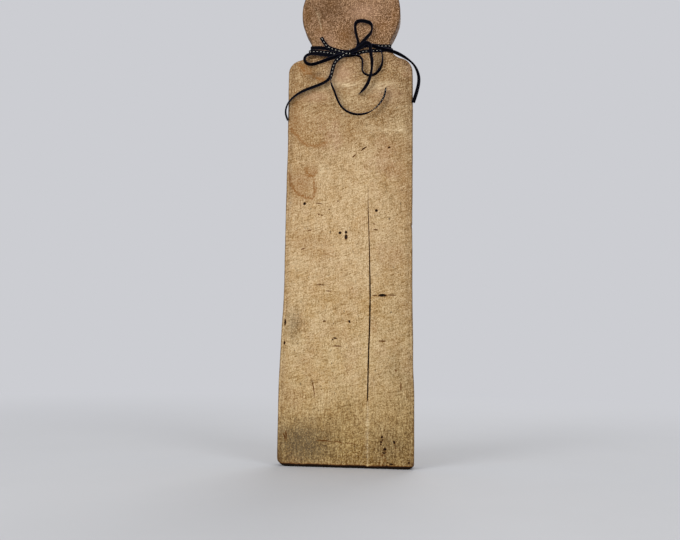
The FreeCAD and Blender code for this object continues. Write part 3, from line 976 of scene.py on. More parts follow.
def wood_material(wood):
    """Old scrubbed wood: dark at the foot and the knob, with grain, flecks, stains and wear."""
    material, tree, shader = new_material("old_wood")
    place = add(tree, "ShaderNodeTexCoord").outputs["Object"]
    axes = add(tree, "ShaderNodeSeparateXYZ", {0: place}).outputs
    ways = {
        "upright": place,
        "slanted": turned_coordinates(tree, place, Rotation=(0, 0.30, 0)),
        "moved": turned_coordinates(tree, place, Location=(0.4, 0, 0.7)),
    }
    noises = {
        name: noise_on(tree, ways[pattern.way], pattern.scale, pattern.detail, pattern.roughness)
        for name, pattern in PATTERNS.items()
    }
    sway = noise_on(tree, place, (26, 26, 26), detail=3)
    level = plus(tree, axes["Z"], times(tree, plus(tree, sway, -0.5), 0.06))
    at_foot = between(tree, level, 0.100, 0.020)
    at_knob = between(tree, level, 0.365, 0.405)
    handled = plus(tree, at_foot, at_knob)
    pale = mixed(tree, at_foot, rgba(wood.scuff), rgba(wood.foot_fibre))
    pale = mixed(tree, at_knob, pale, rgba(wood.knob_fibre))
    base = patterned(tree, wood_tones(tree, wood, axes, level), "patches", noises, pale)
    rosy = noise_on(tree, ways["moved"], (34, 34, 26), detail=5, roughness=0.6)
    rosy = times(tree, between(tree, rosy, 0.48, 0.70), between(tree, level, 0.15, 0.36, 0.25, 0.6))
    base = mixed(tree, rosy, base, rgba(wood.blush))
    for name in ("lines", "strokes", "threads", "cross_threads", "mottle", "speckle"):
        base = patterned(tree, base, name, noises, pale)
    for name, where in (
        ("coarse", handled),
        ("fine", handled),
        ("grain", plus(tree, at_knob, 0.75)),
        ("fibres", at_foot),
    ):
        base = patterned(tree, base, name, noises, pale, where)
    flecks = noise_on(tree, place, (500, 500, 280), detail=1, roughness=0.5)
    base = mixed(tree, between(tree, flecks, 0.70, 0.80, 0.0, 0.6), base, rgba(wood.cut))
    base = wood_wear(tree, wood, base, noises)
    height = plus(tree, times(tree, noises["strokes"], 0.7), times(tree, noises["speckle"], 0.8))
    finish_shader(tree, shader, base, height, 0.6, 0.0005)
    tree.links.new(between(tree, noises["mottle"], 0.3, 0.7, 0.78, 0.6), shader.inputs["Roughness"])
    shader.inputs["Specular IOR Level"].default_value = 0.12
    return material


# ---------------------------------------------------------------------------------------------
# The ribbon
# ---------------------------------------------------------------------------------------------

# The free lengths of ribbon from the knot's side: across, out from the wood's face, up from the
# neck's narrowest point, and the turn in degrees. At 0 the stitched side faces the front, at 90
# the ribbon stands on edge, and at 180 its plain side shows.
ROUTES = {
    "short_end": [
        (-0.0017, 0.00115, -0.0079, 0), (-0.0043, 0.00115, -0.0079, 0), (-0.0086, 0.00120, -0.0073, 4),
        (-0.0130, 0.00150, -0.0058, 8), (-0.0176, 0.00180, -0.0044, 12),
        (-0.0216, 0.00220, -0.0026, 12), (-0.0244, 0.00270, 0.0002, 8), (-0.0265, 0.00330, 0.0034, 4),
        (-0.0282, 0.00400, 0.0068, 0),
    ],
    "left_loop": [
        (-0.0017, 0.00190, -0.0093, 180), (-0.0050, 0.00190, -0.0093, 176),
        (-0.0109, 0.00200, -0.0110, 172), (-0.0177, 0.00240, -0.0113, 168),
        (-0.0246, 0.00280, -0.0106, 164), (-0.0314, 0.00320, -0.0097, 160),
        (-0.0380, 0.00360, -0.0093, 158), (-0.0424, 0.00380, -0.0107, 156),
        (-0.0445, 0.00400, -0.0139, 150), (-0.0439, 0.00400, -0.0175, 136),
        (-0.0409, 0.00400, -0.0199, 126), (-0.0360, 0.00420, -0.0204, 126),
        (-0.0301, 0.00420, -0.0187, 130), (-0.0233, 0.00400, -0.0162, 136),
        (-0.0166, 0.00380, -0.0138, 142), (-0.0098, 0.00340, -0.0117, 152),
        (-0.0047, 0.00340, -0.0101, 166), (-0.0017, 0.00340, -0.0101, 180),
    ],
    "left_tail": [
        (-0.0017, 0.00280, -0.0100, 180), (-0.0038, 0.00280, -0.0100, 180),
        (-0.0072, 0.00280, -0.0118, 180),
        (-0.0112, 0.00270, -0.0146, 180), (-0.0144, 0.00270, -0.0178, 180),
        (-0.0160, 0.00270, -0.0216, 180), (-0.0170, 0.00270, -0.0259, 178),
        (-0.0180, 0.00280, -0.0305, 168), (-0.0206, 0.00300, -0.0356, 157),
        (-0.0260, 0.00320, -0.0391, 158), (-0.0329, 0.00340, -0.0417, 162),
        (-0.0398, 0.00340, -0.0442, 162), (-0.0468, 0.00320, -0.0469, 154),
        (-0.0528, 0.00280, -0.0507, 143), (-0.0578, 0.00220, -0.0548, 134),
        (-0.0609, 0.00160, -0.0595, 128), (-0.0624, 0.00120, -0.0649, 124),
        (-0.0618, 0.00100, -0.0701, 122), (-0.0599, 0.00100, -0.0744, 118),
    ],
    "curled_tail": [
        (-0.0017, 0.00420, -0.0100, 0), (-0.0035, 0.00420, -0.0100, 0), (-0.0054, 0.00420, -0.0110, 0),
        (-0.0085, 0.00430, -0.0130, 4), (-0.0122, 0.00440, -0.0158, 8), (-0.0146, 0.00440, -0.0190, 12),
        (-0.0160, 0.00420, -0.0230, 16), (-0.0172, 0.00420, -0.0275, 24),
        (-0.0180, 0.00420, -0.0319, 44), (-0.0185, 0.00420, -0.0363, 92),
        (-0.0176, 0.00400, -0.0411, 114), (-0.0150, 0.00400, -0.0463, 119),
        (-0.0133, 0.00400, -0.0515, 121), (-0.0111, 0.00400, -0.0570, 119),
        (-0.0079, 0.00400, -0.0630, 112), (-0.0027, 0.00420, -0.0676, 108),
        (0.0036, 0.00440, -0.0704, 108), (0.0104, 0.00460, -0.0712, 104),
        (0.0171, 0.00480, -0.0701, 96),
        (0.0228, 0.00480, -0.0670, 72), (0.0280, 0.00460, -0.0621, 56), (0.0319, 0.00420, -0.0564, 52),
        (0.0342, 0.00380, -0.0504, 56), (0.0345, 0.00340, -0.0451, 64),
    ],
    "top_loop": [
        (0.0017, 0.00180, -0.0072, 180), (0.0036, 0.00180, -0.0071, 176),
        (0.0053, 0.00180, -0.0062, 168), (0.0065, 0.00180, -0.0046, 152),
        (0.0075, 0.00190, -0.0019, 140), (0.0077, 0.00200, 0.0017, 132), (0.0064, 0.00240, 0.0065, 132),
        (0.0051, 0.00300, 0.0121, 132), (0.0045, 0.00360, 0.0171, 131), (0.0054, 0.00400, 0.0214, 142),
        (0.0103, 0.00420, 0.0224, 160), (0.0152, 0.00420, 0.0215, 160), (0.0199, 0.00400, 0.0195, 136),
        (0.0213, 0.00380, 0.0148, 118), (0.0199, 0.00360, 0.0103, 148), (0.0167, 0.00340, 0.0064, 176),
        (0.0134, 0.00340, 0.0027, 180), (0.0101, 0.00340, -0.0011, 178),
        (0.0080, 0.00340, -0.0039, 174), (0.0062, 0.00340, -0.0054, 174),
        (0.0039, 0.00340, -0.0067, 178), (0.0017, 0.00340, -0.0070, 180),
    ],
    "lower_loop": [
        (0.0017, 0.00240, -0.0112, 100), (0.0042, 0.00240, -0.0114, 100),
        (0.0084, 0.00240, -0.0120, 104), (0.0111, 0.00240, -0.0143, 114),
        (0.0120, 0.00240, -0.0183, 121), (0.0118, 0.00240, -0.0230, 118),
        (0.0117, 0.00260, -0.0281, 108), (0.0162, 0.00260, -0.0316, 103),
        (0.0220, 0.00260, -0.0322, 105), (0.0266, 0.00260, -0.0290, 122),
        (0.0298, 0.00260, -0.0244, 128), (0.0315, 0.00220, -0.0188, 112),
        (0.0313, 0.00230, -0.0132, 106), (0.0305, 0.00230, -0.0094, 108),
        (0.0301, 0.00230, -0.0065, 110),
    ],
    "middle_tail": [
        (0.0017, 0.00420, -0.0078, 180), (0.0039, 0.00420, -0.0077, 180),
        (0.0061, 0.00420, -0.0066, 178), (0.0089, 0.00420, -0.0045, 172),
        (0.0117, 0.00430, -0.0026, 166), (0.0142, 0.00450, -0.0002, 162),
        (0.0172, 0.00460, -0.0002, 158), (0.0194, 0.00470, -0.0023, 156),
        (0.0197, 0.00500, -0.0057, 156), (0.0198, 0.00520, -0.0100, 152),
        (0.0208, 0.00520, -0.0147, 150), (0.0214, 0.00520, -0.0201, 146),
        (0.0213, 0.00520, -0.0256, 132), (0.0204, 0.00520, -0.0310, 138),
        (0.0190, 0.00500, -0.0365, 158), (0.0169, 0.00440, -0.0414, 166),
        (0.0140, 0.00340, -0.0455, 160), (0.0108, 0.00260, -0.0485, 130),
        (0.0086, 0.00200, -0.0501, 98),
    ],
    "right_tail": [
        (0.0017, 0.00260, -0.0074, 180), (0.0039, 0.00260, -0.0072, 178),
        (0.0060, 0.00260, -0.0062, 172), (0.0089, 0.00260, -0.0044, 164),
        (0.0127, 0.00260, -0.0028, 156), (0.0172, 0.00260, -0.0017, 148),
        (0.0221, 0.00240, -0.0025, 140), (0.0274, 0.00220, -0.0045, 135),
        (0.0335, 0.00220, -0.0063, 132), (0.0399, 0.00260, -0.0082, 134),
        (0.0459, 0.00300, -0.0109, 132), (0.0517, 0.00360, -0.0145, 121),
        (0.0573, 0.00400, -0.0186, 98), (0.0617, 0.00400, -0.0234, 107),
        (0.0645, 0.00400, -0.0289, 126), (0.0661, 0.00380, -0.0347, 140),
        (0.0660, 0.00340, -0.0411, 155), (0.0645, 0.00280, -0.0475, 168),
        (0.0627, 0.00220, -0.0538, 176), (0.0607, 0.00160, -0.0594, 180),
    ],
}


# The steps of a smooth line between two of its control points
LINE_STEPS = 10

# How far from a strip's ends its stitches stop, and how far out of its middle they stand, as a
# share of its thickness
STITCH_MARGIN = 0.0018
STITCH_LIFT = 0.42


def neck_height():
    return circles(settings().board)[1].y


def smooth_line(points):
    """The points of the smooth line that has these as its control points."""
    curve = bpy.data.curves.new("line", "CURVE")
    curve.dimensions = "3D"
    spline = curve.splines.new("NURBS")
    spline.points.add(len(points) - 1)
    for control, point in zip(spline.points, points):
        control.co = (*point, 1)
    spline.order_u = 3
    spline.use_endpoint_u = True
    spline.resolution_u = LINE_STEPS
    holder = bpy.data.objects.new("line", curve)
    mesh = bpy.data.meshes.new_from_object(holder)
    line = [vertex.co.copy() for vertex in mesh.vertices]
    bpy.data.objects.remove(holder)
    bpy.data.curves.remove(curve)
    bpy.data.meshes.remove(mesh)
    return line


def tangents(line):
    """The direction of a line at each of its points."""
    ends = [line[0]] + line, line[1:] + [line[-1]]
    return [(after - before).normalized() for before, after in zip(*ends)]


def turned(line, turns):
    """Where the stitched side faces at each point of a line, when it turns away from the front."""
    facings = []
    for along, turn in zip(tangents(line), turns):
        front = (FRONT - along * along.dot(FRONT)).normalized()
        aside = along.cross(front)
        angle = math.radians(turn)
        facings.append(front * math.cos(angle) - aside * math.sin(angle))
    return facings


def cloth_mesh(name, points, faces, placed, sharp):
    """A mesh with the weave's own coordinates, and its edges sharp above an angle in degrees."""
    mesh = bpy.data.meshes.new(name)
    mesh.from_pydata(points, [], faces)
    cloth = mesh.uv_layers.new(name="Cloth")
    for loop in mesh.loops:
        cloth.data[loop.index].uv = placed[loop.vertex_index]
    smooth(mesh, sharp)
    return mesh


# Half of a strip's thickness across it: share of the half width, and of the half thickness
STRIP_PROFILE = [(-1.0, 0.5), (-0.93, 1.0), (-0.82, 0.85), (-0.4, 0.75), (0.0, 0.75)]


def strip_mesh(name, line, facings, ribbon):
    """A woven strip along a line, thicker at its selvedges and cut square at its ends."""
    profile = STRIP_PROFILE + [(-across, thick) for across, thick in reversed(STRIP_PROFILE[:-1])]
    section = profile + [(across, -thick) for across, thick in reversed(profile)]
    size = len(section)
    points, placed, run = [], [], 0.0
    for i, (centre, along, facing) in enumerate(zip(line, tangents(line), facings)):
        run += (centre - line[max(i - 1, 0)]).length
        aside = facing.cross(along)
        slack = 1 + 0.035 * noise.noise(Vector((run * 140, len(name), 3)))
        for across, thick in section:
            side = aside * (across * ribbon.width / 2 * slack)
            points.append(centre + side + facing * (thick * ribbon.thickness / 2))
            placed.append((across * ribbon.width / 2, run))
    faces = []
    for i in range(len(line) - 1):
        for j in range(size):
            k = (j + 1) % size
            faces.append((i * size + j, i * size + k, (i + 1) * size + k, (i + 1) * size + j))
    last = (len(line) - 1) * size
    half = size // 2
    for j in range(half - 1):
        quad = (j, j + 1, size - 2 - j, size - 1 - j)
        faces.append(tuple(reversed(quad)))
        faces.append(tuple(last + corner for corner in quad))
    return cloth_mesh(name, points, faces, placed, 55)


def ribbon_material(colours, ribbon):
    """Narrow woven ribbon: fine ribs across it, edges painted lighter as a highlight, and a dull sheen.
    """
    material, tree, shader = new_material("black_ribbon")
    place = add(tree, "ShaderNodeUVMap", uv_map="Cloth").outputs[0]
    axes = add(tree, "ShaderNodeSeparateXYZ", {0: place}).outputs
    phase = times(tree, axes["Y"], 2 * math.pi / ribbon.rib)
    ribs = add(tree, "ShaderNodeMath", {0: phase}, operation="SINE").outputs[0]
    yarn_phase = times(tree, axes["X"], 2 * math.pi / (ribbon.rib * 0.7))
    yarns = add(tree, "ShaderNodeMath", {0: yarn_phase}, operation="SINE").outputs[0]
    weave = plus(tree, times(tree, ribs, 0.7), times(tree, yarns, 0.3))
    solid = add(tree, "ShaderNodeTexCoord").outputs["Object"]
    dust = noise_on(tree, solid, (900, 900, 900), detail=3)
    dusty = between(tree, dust, 0.45, 0.75, 0.0, 0.35)
    dull = mixed(tree, dusty, rgba(colours.cloth), rgba(colours.thread))
    base = mixed(tree, between(tree, weave, -1.0, 1.0, 0.55, 1.0), (0, 0, 0, 1), rgba(colours.cloth))
    base = mixed(tree, 0.01, base, dull)
    # Painted highlight: both edges are coloured lighter, as if they caught the light
    aside = add(tree, "ShaderNodeMath", {0: axes["X"]}, operation="ABSOLUTE").outputs[0]
    near_edge = between(tree, aside, ribbon.width * 0.40, ribbon.width * 0.46)
    base = mixed(tree, near_edge, base, rgba(colours.edge_sheen))
    finish_shader(tree, shader, base, weave, 0.5, 0.00008)
    shader.inputs["Roughness"].default_value = 0.6
    shader.inputs["Specular IOR Level"].default_value = 0.03
    return material


def thread_material(colours):
    """Whitish sewing thread with a slight twist."""
    material, tree, shader = new_material("white_thread")
    place = add(tree, "ShaderNodeTexCoord").outputs["Object"]
    twist = noise_on(tree, place, (2600, 2600, 2600), detail=2)
    hollows = between(tree, twist, 0.35, 0.65, 0.35, 0.0)
    shade = mixed(tree, hollows, rgba(colours.thread), rgba(colours.cloth))
    finish_shader(tree, shader, shade, twist, 0.4, 0.0001)
    shader.inputs["Roughness"].default_value = 0.8
    return material


def material_once(name, make, *arguments):
    """The material of this name, made if the file doesn't have it yet."""
    return bpy.data.materials.get(name) or make(*arguments)


def stitch_tree():
    """Running stitches: bars of thread at even distances along a line that knows where it faces."""
    name = "running_stitches"
    if name in bpy.data.node_groups:
        return bpy.data.node_groups[name]
    tree = bpy.data.node_groups.new(name, "GeometryNodeTree")
    face = tree.interface
    face.new_socket("Geometry", in_out="INPUT", socket_type="NodeSocketGeometry")
    for label in ("Pitch", "Length", "Width", "Lift"):
        face.new_socket(label, in_out="INPUT", socket_type="NodeSocketFloat")
    face.new_socket("Thread", in_out="INPUT", socket_type="NodeSocketMaterial")
    face.new_socket("Geometry", in_out="OUTPUT", socket_type="NodeSocketGeometry")
    given = tree.nodes.new("NodeGroupInput").outputs
    line = add(tree, "GeometryNodeMeshToCurve", {"Mesh": given["Geometry"]}).outputs[0]
    spaced = add(tree, "GeometryNodeResampleCurve", mode="LENGTH")
    tree.links.new(line, spaced.inputs["Curve"])
    tree.links.new(given["Pitch"], spaced.inputs["Length"])
    facing = add(tree, "GeometryNodeInputNamedAttribute", {"Name": "facing"}, data_type="FLOAT_VECTOR")
    along = add(tree, "GeometryNodeInputTangent").outputs[0]
    axes = {"Primary Axis": facing.outputs[0], "Secondary Axis": along}
    rotation = add(tree, "FunctionNodeAxesToRotation", axes, primary_axis="Z", secondary_axis="X")
    lift = add(tree, "ShaderNodeVectorMath", {0: facing.outputs[0]}, operation="SCALE")
    tree.links.new(given["Lift"], lift.inputs["Scale"])
    moved = {"Geometry": spaced.outputs[0], "Offset": lift.outputs[0]}
    points = add(tree, "GeometryNodeSetPosition", moved).outputs[0]
    bar = add(tree, "GeometryNodeMeshUVSphere", {"Segments": 8, "Rings": 6, "Radius": 0.5})
    size = add(tree, "ShaderNodeCombineXYZ", {0: given["Length"], 1: given["Width"]})
    tree.links.new(times(tree, given["Width"], 0.55), size.inputs[2])
    scaled = {"Geometry": bar.outputs[0], "Scale": size.outputs[0]}
    stitch = add(tree, "GeometryNodeTransform", scaled).outputs[0]
    placed = {"Points": points, "Instance": stitch, "Rotation": rotation.outputs[0]}
    stitches = add(tree, "GeometryNodeInstanceOnPoints", placed).outputs[0]
    real = add(tree, "GeometryNodeRealizeInstances", {"Geometry": stitches}).outputs[0]
    rounded = add(tree, "GeometryNodeSetShadeSmooth", {"Geometry": real}).outputs[0]
    painted = {"Geometry": rounded, "Material": given["Thread"]}
    result = add(tree, "GeometryNodeSetMaterial", painted).outputs[0]
    tree.links.new(result, tree.nodes.new("NodeGroupOutput").inputs[0])
    return tree


def stitches(name, line, facings, ribbon, thread):
    """The row of stitches down the middle of a strip, as a plain mesh."""
    guide = bpy.data.meshes.new(name)
    guide.from_pydata(line, [(i, i + 1) for i in range(len(line) - 1)], [])
    values = guide.attributes.new("facing", "FLOAT_VECTOR", "POINT").data
    values.foreach_set("vector", [number for facing in facings for number in facing])
    holder = new_object(name, guide)
    modifier = holder.modifiers.new("stitches", "NODES")
    modifier.node_group = stitch_tree()
    sizes = {
        "Pitch": ribbon.stitch_pitch,
        "Length": ribbon.stitch_length,
        "Width": ribbon.stitch_width,
        "Lift": ribbon.thickness * STITCH_LIFT,
        "Thread": thread,
    }
    for socket in modifier.node_group.interface.items_tree:
        if socket.in_out == "INPUT" and socket.name in sizes:
            modifier[socket.identifier] = sizes[socket.name]
    evaluated = holder.evaluated_get(bpy.context.evaluated_depsgraph_get())
    mesh = bpy.data.meshes.new_from_object(evaluated)
    bpy.data.objects.remove(holder)
    bpy.data.meshes.remove(guide)
    mesh.name = name
    return new_object(name, mesh)


def ribbon_materials():
    """The ribbon's cloth and its thread, made for the first piece that asks for them."""
    given = settings()
    cloth = material_once("black_ribbon", ribbon_material, given.cloth, given.ribbon)
    return cloth, material_once("white_thread", thread_material, given.cloth)


def dress_strip(name, line, facings):
    """A strip of ribbon with its stitches, riding on the board."""
    ribbon = settings().ribbon
    cloth, thread = ribbon_materials()
    strip = new_object(name + "_strip", strip_mesh(name + "_strip", line, facings, ribbon), cloth)
    runs = [0.0]
    for before, after in zip(line, line[1:]):
        runs.append(runs[-1] + (after - before).length)
    end = runs[-1] - STITCH_MARGIN
    inner = [i for i, run in enumerate(runs) if STITCH_MARGIN <= run <= end]
    guide = [line[i] for i in inner], [facings[i] for i in inner]
    sewn = stitches(name + "_stitches", *guide, ribbon, thread)
    hold((strip, sewn))
    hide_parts(name)
    return strip, sewn


def free_strip(name):
    """A free length of the ribbon along its route."""
    route = ROUTES[name]
    up = neck_height()
    line = smooth_line([(across, FACE - out, up + rise) for across, out, rise, _ in route])
    turns = [point.x for point in smooth_line([(turn, 0, 0) for *_, turn in route])]
    strip, sewn = dress_strip(name, line, turned(line, turns))


# The two turns round the neck. Each has 1 if it's the upper and -1 if it's the lower, its points
# left of the knot, its height round the sides and the back, and its points right of the knot. A
# point is a share of the neck's half width and a height. Heights are those of the edge that faces
# the other turn, over the knot's middle.
TURNS = {
    "upper_wrap": (
        1,
        [(0.0, 0.0), (-0.10, 0.0), (-0.22, 0.0004), (-0.39, 0.0019), (-0.59, 0.0037), (-0.77, 0.0047)],
        0.0047,
        [(0.85, 0.0047), (0.74, 0.0048), (0.58, 0.0057), (0.415, 0.0070), (0.28, 0.0053),
         (0.17, 0.0022), (0.10, 0.0), (0.0, 0.0)],
    ),
    "lower_wrap": (
        -1,
        [(0.0, 0.0), (-0.10, 0.0), (-0.21, 0.0003), (-0.38, 0.0018), (-0.59, 0.0035), (-0.79, 0.0045)],
        0.0045,
        [(0.83, 0.0045), (0.67, 0.0040), (0.50, 0.0040), (0.27, 0.0034), (0.12, 0.0003), (0.0, 0.0)],
    ),
}


# The steps of a turn along the wood and round each of its corners, how far in from the left and
# the right corner it comes level, and half the length of the twist behind the neck
TURN_STEP = 0.0012
CORNER_STEPS = 8
LEVEL_LEFT = 0.0035
LEVEL_RIGHT = 0.002
TWIST_HALF = 0.007


def round_back(half, out, rounding, up):
    """The level way round the sides and the back of the neck, from its left front to its right."""
    front, back = FACE + rounding, BACK - rounding
    corners = [
        (-half + rounding, front, 270, 180),
        (-half + rounding, back, 180, 90),
        (half - rounding, back, 90, 0),
        (half - rounding, front, 0, -90),
    ]
    line = []
    for across, depth, start, end in corners:
        for step in range(CORNER_STEPS + 1):
            angle = math.radians(start + (end - start) * step / CORNER_STEPS)
            reach = rounding + out
            line.append(Vector((across + reach * math.cos(angle), depth + reach * math.sin(angle), up)))
    full = []
    for start, end in zip(line, line[1:]):
        count = max(1, round((end - start).length / TURN_STEP))
        full += [start.lerp(end, i / count) for i in range(count)]
    return full + [line[-1]]


def half_twist(point):
    """The turn over behind the neck that brings the plain side to the front's left half."""
    share = min(1.0, max(0.0, (TWIST_HALF - point.x) / (2 * TWIST_HALF)))
    ease = share * share * (3 - 2 * share) if point.y > 0 else float(point.x < 0)
    return math.pi * ease


def turn_strip(name):
    """One turn of the ribbon round the neck, flat on the wood."""
    board, ribbon = settings().board, settings().ribbon
    side, left, level, right = TURNS[name]
    notch = circles(board)[1]
    out = ribbon.gap + ribbon.thickness / 2
    middle = (KNOT_LOW.z + KNOT_HIGH.z) / 2 + side * (ribbon.width + ribbon.turn_gap) / 2
    reach = abs(level + middle - notch.y) + ribbon.width / 2
    half = notch.x - math.sqrt(board.notch_radius**2 - reach**2)
    back = round_back(half, out, board.rounding, middle + level)
    over_left = [(share * half, FACE - out, rise + middle) for share, rise in left]
    over_left += [tuple(back[0] + Vector((LEVEL_LEFT, 0, 0))), tuple(back[0])]
    over_right = [(share * half, FACE - out, rise + middle) for share, rise in right]
    over_right = [tuple(back[-1]), tuple(back[-1] - Vector((LEVEL_RIGHT, 0, 0)))] + over_right
    line = smooth_line(over_left)[:-1] + back + smooth_line(over_right)[1:]
    twists = [half_twist(point) if name == "upper_wrap" else 0.0 for point in line]
    for point, twist in zip(line, twists):
        point.y += ribbon.width / 2 * math.sin(twist)
    facings = []
    for along, twist in zip(tangents(line), twists):
        level_along = Vector((along.x, along.y, 0)).normalized()
        outward = UP.cross(level_along).normalized()
        facings.append((outward * math.cos(twist) + UP * math.sin(twist)).normalized())
    dress_strip(name, line, facings)


# The knot's rows along it and steps round it, and its row of stitches: the share of its half width
# where they run, and the angles in degrees from straight in front
KNOT_ROWS = 15
KNOT_STEPS = 64
SEAM_SHARE = -0.15
SEAM_ANGLES = range(-32, 38, 5)


def knot_point(share, angle, ribbon):
    """A point of the knot: its share of the half width to the right, and the angle round it."""
    centre, size = (KNOT_LOW + KNOT_HIGH) / 2, KNOT_HIGH - KNOT_LOW
    swell = 0.90 + 0.10 * math.cos(math.pi * share) - 0.10 * abs(share) ** 6
    out, up = math.cos(angle), math.sin(angle)
    squared = (abs(out) ** 4 + abs(up) ** 4) ** -0.25
    pleat = 1 + 0.045 * math.cos(share * 9 + 1.2 * math.sin(angle * 2))
    pleat += 0.03 * noise.noise(Vector((share * 2.5, out * 2, up * 2)))
    reach = squared * swell * pleat
    return Vector((
        centre.x + share * size.x / 2 * (1 + 0.05 * up),
        min(centre.y - out * size.y / 2 * reach, FACE - ribbon.gap),
        centre.z + up * size.z / 2 * reach,
    ))


def knot_mesh(name, ribbon):
    """The short length of ribbon drawn tight over the bow's middle, with its pleats."""
    size = KNOT_HIGH - KNOT_LOW
    points, placed, faces = [], [], []
    for row in range(KNOT_ROWS):
        share = row / (KNOT_ROWS - 1) * 2 - 1
        for step in range(KNOT_STEPS):
            angle = 2 * math.pi * step / KNOT_STEPS
            points.append(knot_point(share, angle, ribbon))
            placed.append((share * size.x / 2, angle * size.z / 2))
    rings = [range(row * KNOT_STEPS, (row + 1) * KNOT_STEPS) for row in range(KNOT_ROWS)]
    for ring, following in zip(rings, rings[1:]):
        for step in range(KNOT_STEPS):
            after = (step + 1) % KNOT_STEPS
            faces.append((ring[step], ring[after], following[after], following[step]))
    for ring, is_left in ((rings[0], True), (rings[-1], False)):
        hub = len(points)
        points.append(tuple(sum(points[i][axis] for i in ring) / KNOT_STEPS for axis in range(3)))
        placed.append((0, 0))
        for step in range(KNOT_STEPS):
            triangle = (ring[step], ring[(step + 1) % KNOT_STEPS], hub)
            faces.append(tuple(reversed(triangle)) if is_left else triangle)
    return cloth_mesh(name, points, faces, placed, 60)


# ---------------------------------------------------------------------------------------------
# The stage
# ---------------------------------------------------------------------------------------------

# The camera's place, how far it's turned to the left, raised and rolled, and its lens and sensor
# in millimetres
EYE = Vector((0.06379, -0.71328, 0.10752))
EYE_TURNS = (math.radians(5.761), math.radians(6.024), math.radians(0.806))
LENS = 40.0
SENSOR = 36.0

# Each soft lamp's place and its size across; all of them are aimed at the same point
LAMPS = {
    "key": ((-1.05, -1.25, 0.8), 0.9),
    "side": ((1.1, -1.2, 0.7), 0.9),
    "behind": ((0.3, 1.5, 1.1), 1.3),
}
LAMP_AIM = Vector((0, 0, 0.25))

# How far the floor reaches, and how far it lies under the foot
FLOOR_REACH = 12
FLOOR_DROP = 0.0002


def add_camera():
    """The camera, low in front of the board, a little to the right and turned back to it."""
    turned_left, raised, rolled = EYE_TURNS
    data = bpy.data.cameras.new("camera")
    data.lens = LENS
    data.sensor_width = SENSOR
    camera = bpy.data.objects.new("camera", data)
    bpy.context.scene.collection.objects.link(camera)
    level = Matrix.Rotation(turned_left, 3, "Z") @ Matrix.Rotation(math.pi / 2 + raised, 3, "X")
    turn = level @ Matrix.Rotation(rolled, 3, "Z")
    camera.matrix_world = Matrix.Translation(EYE) @ turn.to_4x4()
    bpy.context.scene.camera = camera


def add_lamp(name, place, size, power):
    """A round soft lamp that shines at the board."""
    data = bpy.data.lights.new(name, "AREA")
    data.shape = "DISK"
    data.size = size
    data.energy = power
    lamp = bpy.data.objects.new(name, data)
    bpy.context.scene.collection.objects.link(lamp)
    direction = (LAMP_AIM - Vector(place)).to_track_quat("-Z", "Y")
    lamp.matrix_world = Matrix.Translation(place) @ direction.to_matrix().to_4x4()


def seen_directly(tree):
    """1 for what the camera sees, straight or in a gloss."""
    rays = add(tree, "ShaderNodeLightPath").outputs
    return add(tree, "ShaderNodeMath", {0: rays["Is Camera Ray"], 1: rays["Is Glossy Ray"]},
               operation="MAXIMUM").outputs[0]


def add_surroundings(stage):
    """Pale surroundings that light the object evenly."""
    world = bpy.data.worlds.new("surroundings")
    world.use_nodes = True
    bpy.context.scene.world = world
    tree = world.node_tree
    background = tree.nodes["Background"]
    light = (stage.fill, stage.fill, stage.fill * 1.01, 1)
    shade = mixed(tree, seen_directly(tree), light, rgba(stage.wall))
    tree.links.new(shade, background.inputs["Color"])
    background.inputs["Strength"].default_value = 1.0


def floor_material(stage):
    """A pale floor that fades into the surroundings."""
    material, tree, shader = new_material("pale_floor")
    place = add(tree, "ShaderNodeTexCoord").outputs["Object"]
    cloudy = noise_on(tree, place, (9, 9, 9), detail=5, roughness=0.6)
    clouds = between(tree, cloudy, 0.35, 0.65, 0.0, 0.06)
    shade = mixed(tree, clouds, rgba(stage.floor), rgba(stage.wall))
    tree.links.new(shade, shader.inputs["Base Color"])
    shader.inputs["Roughness"].default_value = 0.9
    shader.inputs["Specular IOR Level"].default_value = 0.1
    glow = add(tree, "ShaderNodeEmission", {"Color": rgba(stage.wall)})
    distance = add(tree, "ShaderNodeVectorMath", {0: place}, operation="LENGTH").outputs["Value"]
    fade = times(tree, between(tree, distance, 0.12, 1.25), seen_directly(tree))
    both = add(tree, "ShaderNodeMixShader", {0: fade, 1: shader.outputs[0], 2: glow.outputs[0]})
    tree.links.new(both.outputs[0], tree.nodes["Material Output"].inputs["Surface"])
    return material


def add_floor(stage):
    """A wide floor just under the foot."""
    turns = ((-1, -1), (1, -1), (1, 1), (-1, 1))
    corners = [(x * FLOOR_REACH, y * FLOOR_REACH, -FLOOR_DROP) for x, y in turns]
    mesh = bpy.data.meshes.new("floor")
    mesh.from_pydata(corners, [], [(0, 1, 2, 3)])
    new_object("floor", mesh, floor_material(stage))


# ---------------------------------------------------------------------------------------------
# Operators and panel
# ---------------------------------------------------------------------------------------------


class BREADBOARD_OT_stage(bpy.types.Operator):
    """Set up the camera, the lamps, the surroundings and the floor"""

    bl_idname = "bread_board.stage"
    bl_label = "Stage"

    def execute(self, context):
        stage = context.scene.bread_board.stage
        context.scene.view_settings.view_transform = "Standard"
        add_camera()
        add_surroundings(stage)
        for name, (place, size) in LAMPS.items():
            add_lamp(name, place, size, getattr(stage, name))
        add_floor(stage)
        return {"FINISHED"}


class BREADBOARD_OT_board(bpy.types.Operator):
    """Make the board, with its worn edges, cuts and drying crack"""

    bl_idname = "bread_board.board"
    bl_label = "Board"

    def execute(self, context):
        given = context.scene.bread_board
        piece = new_object("plank", board_mesh(given.board), wood_material(given.wood))
        hold([piece])
        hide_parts("board")
        return {"FINISHED"}


class BREADBOARD_OT_turns(bpy.types.Operator):
    """Wind the ribbon twice round the neck"""

    bl_idname = "bread_board.turns"
    bl_label = "Turns round the neck"

    def execute(self, context):
        for name in TURNS:
            turn_strip(name)
        return {"FINISHED"}


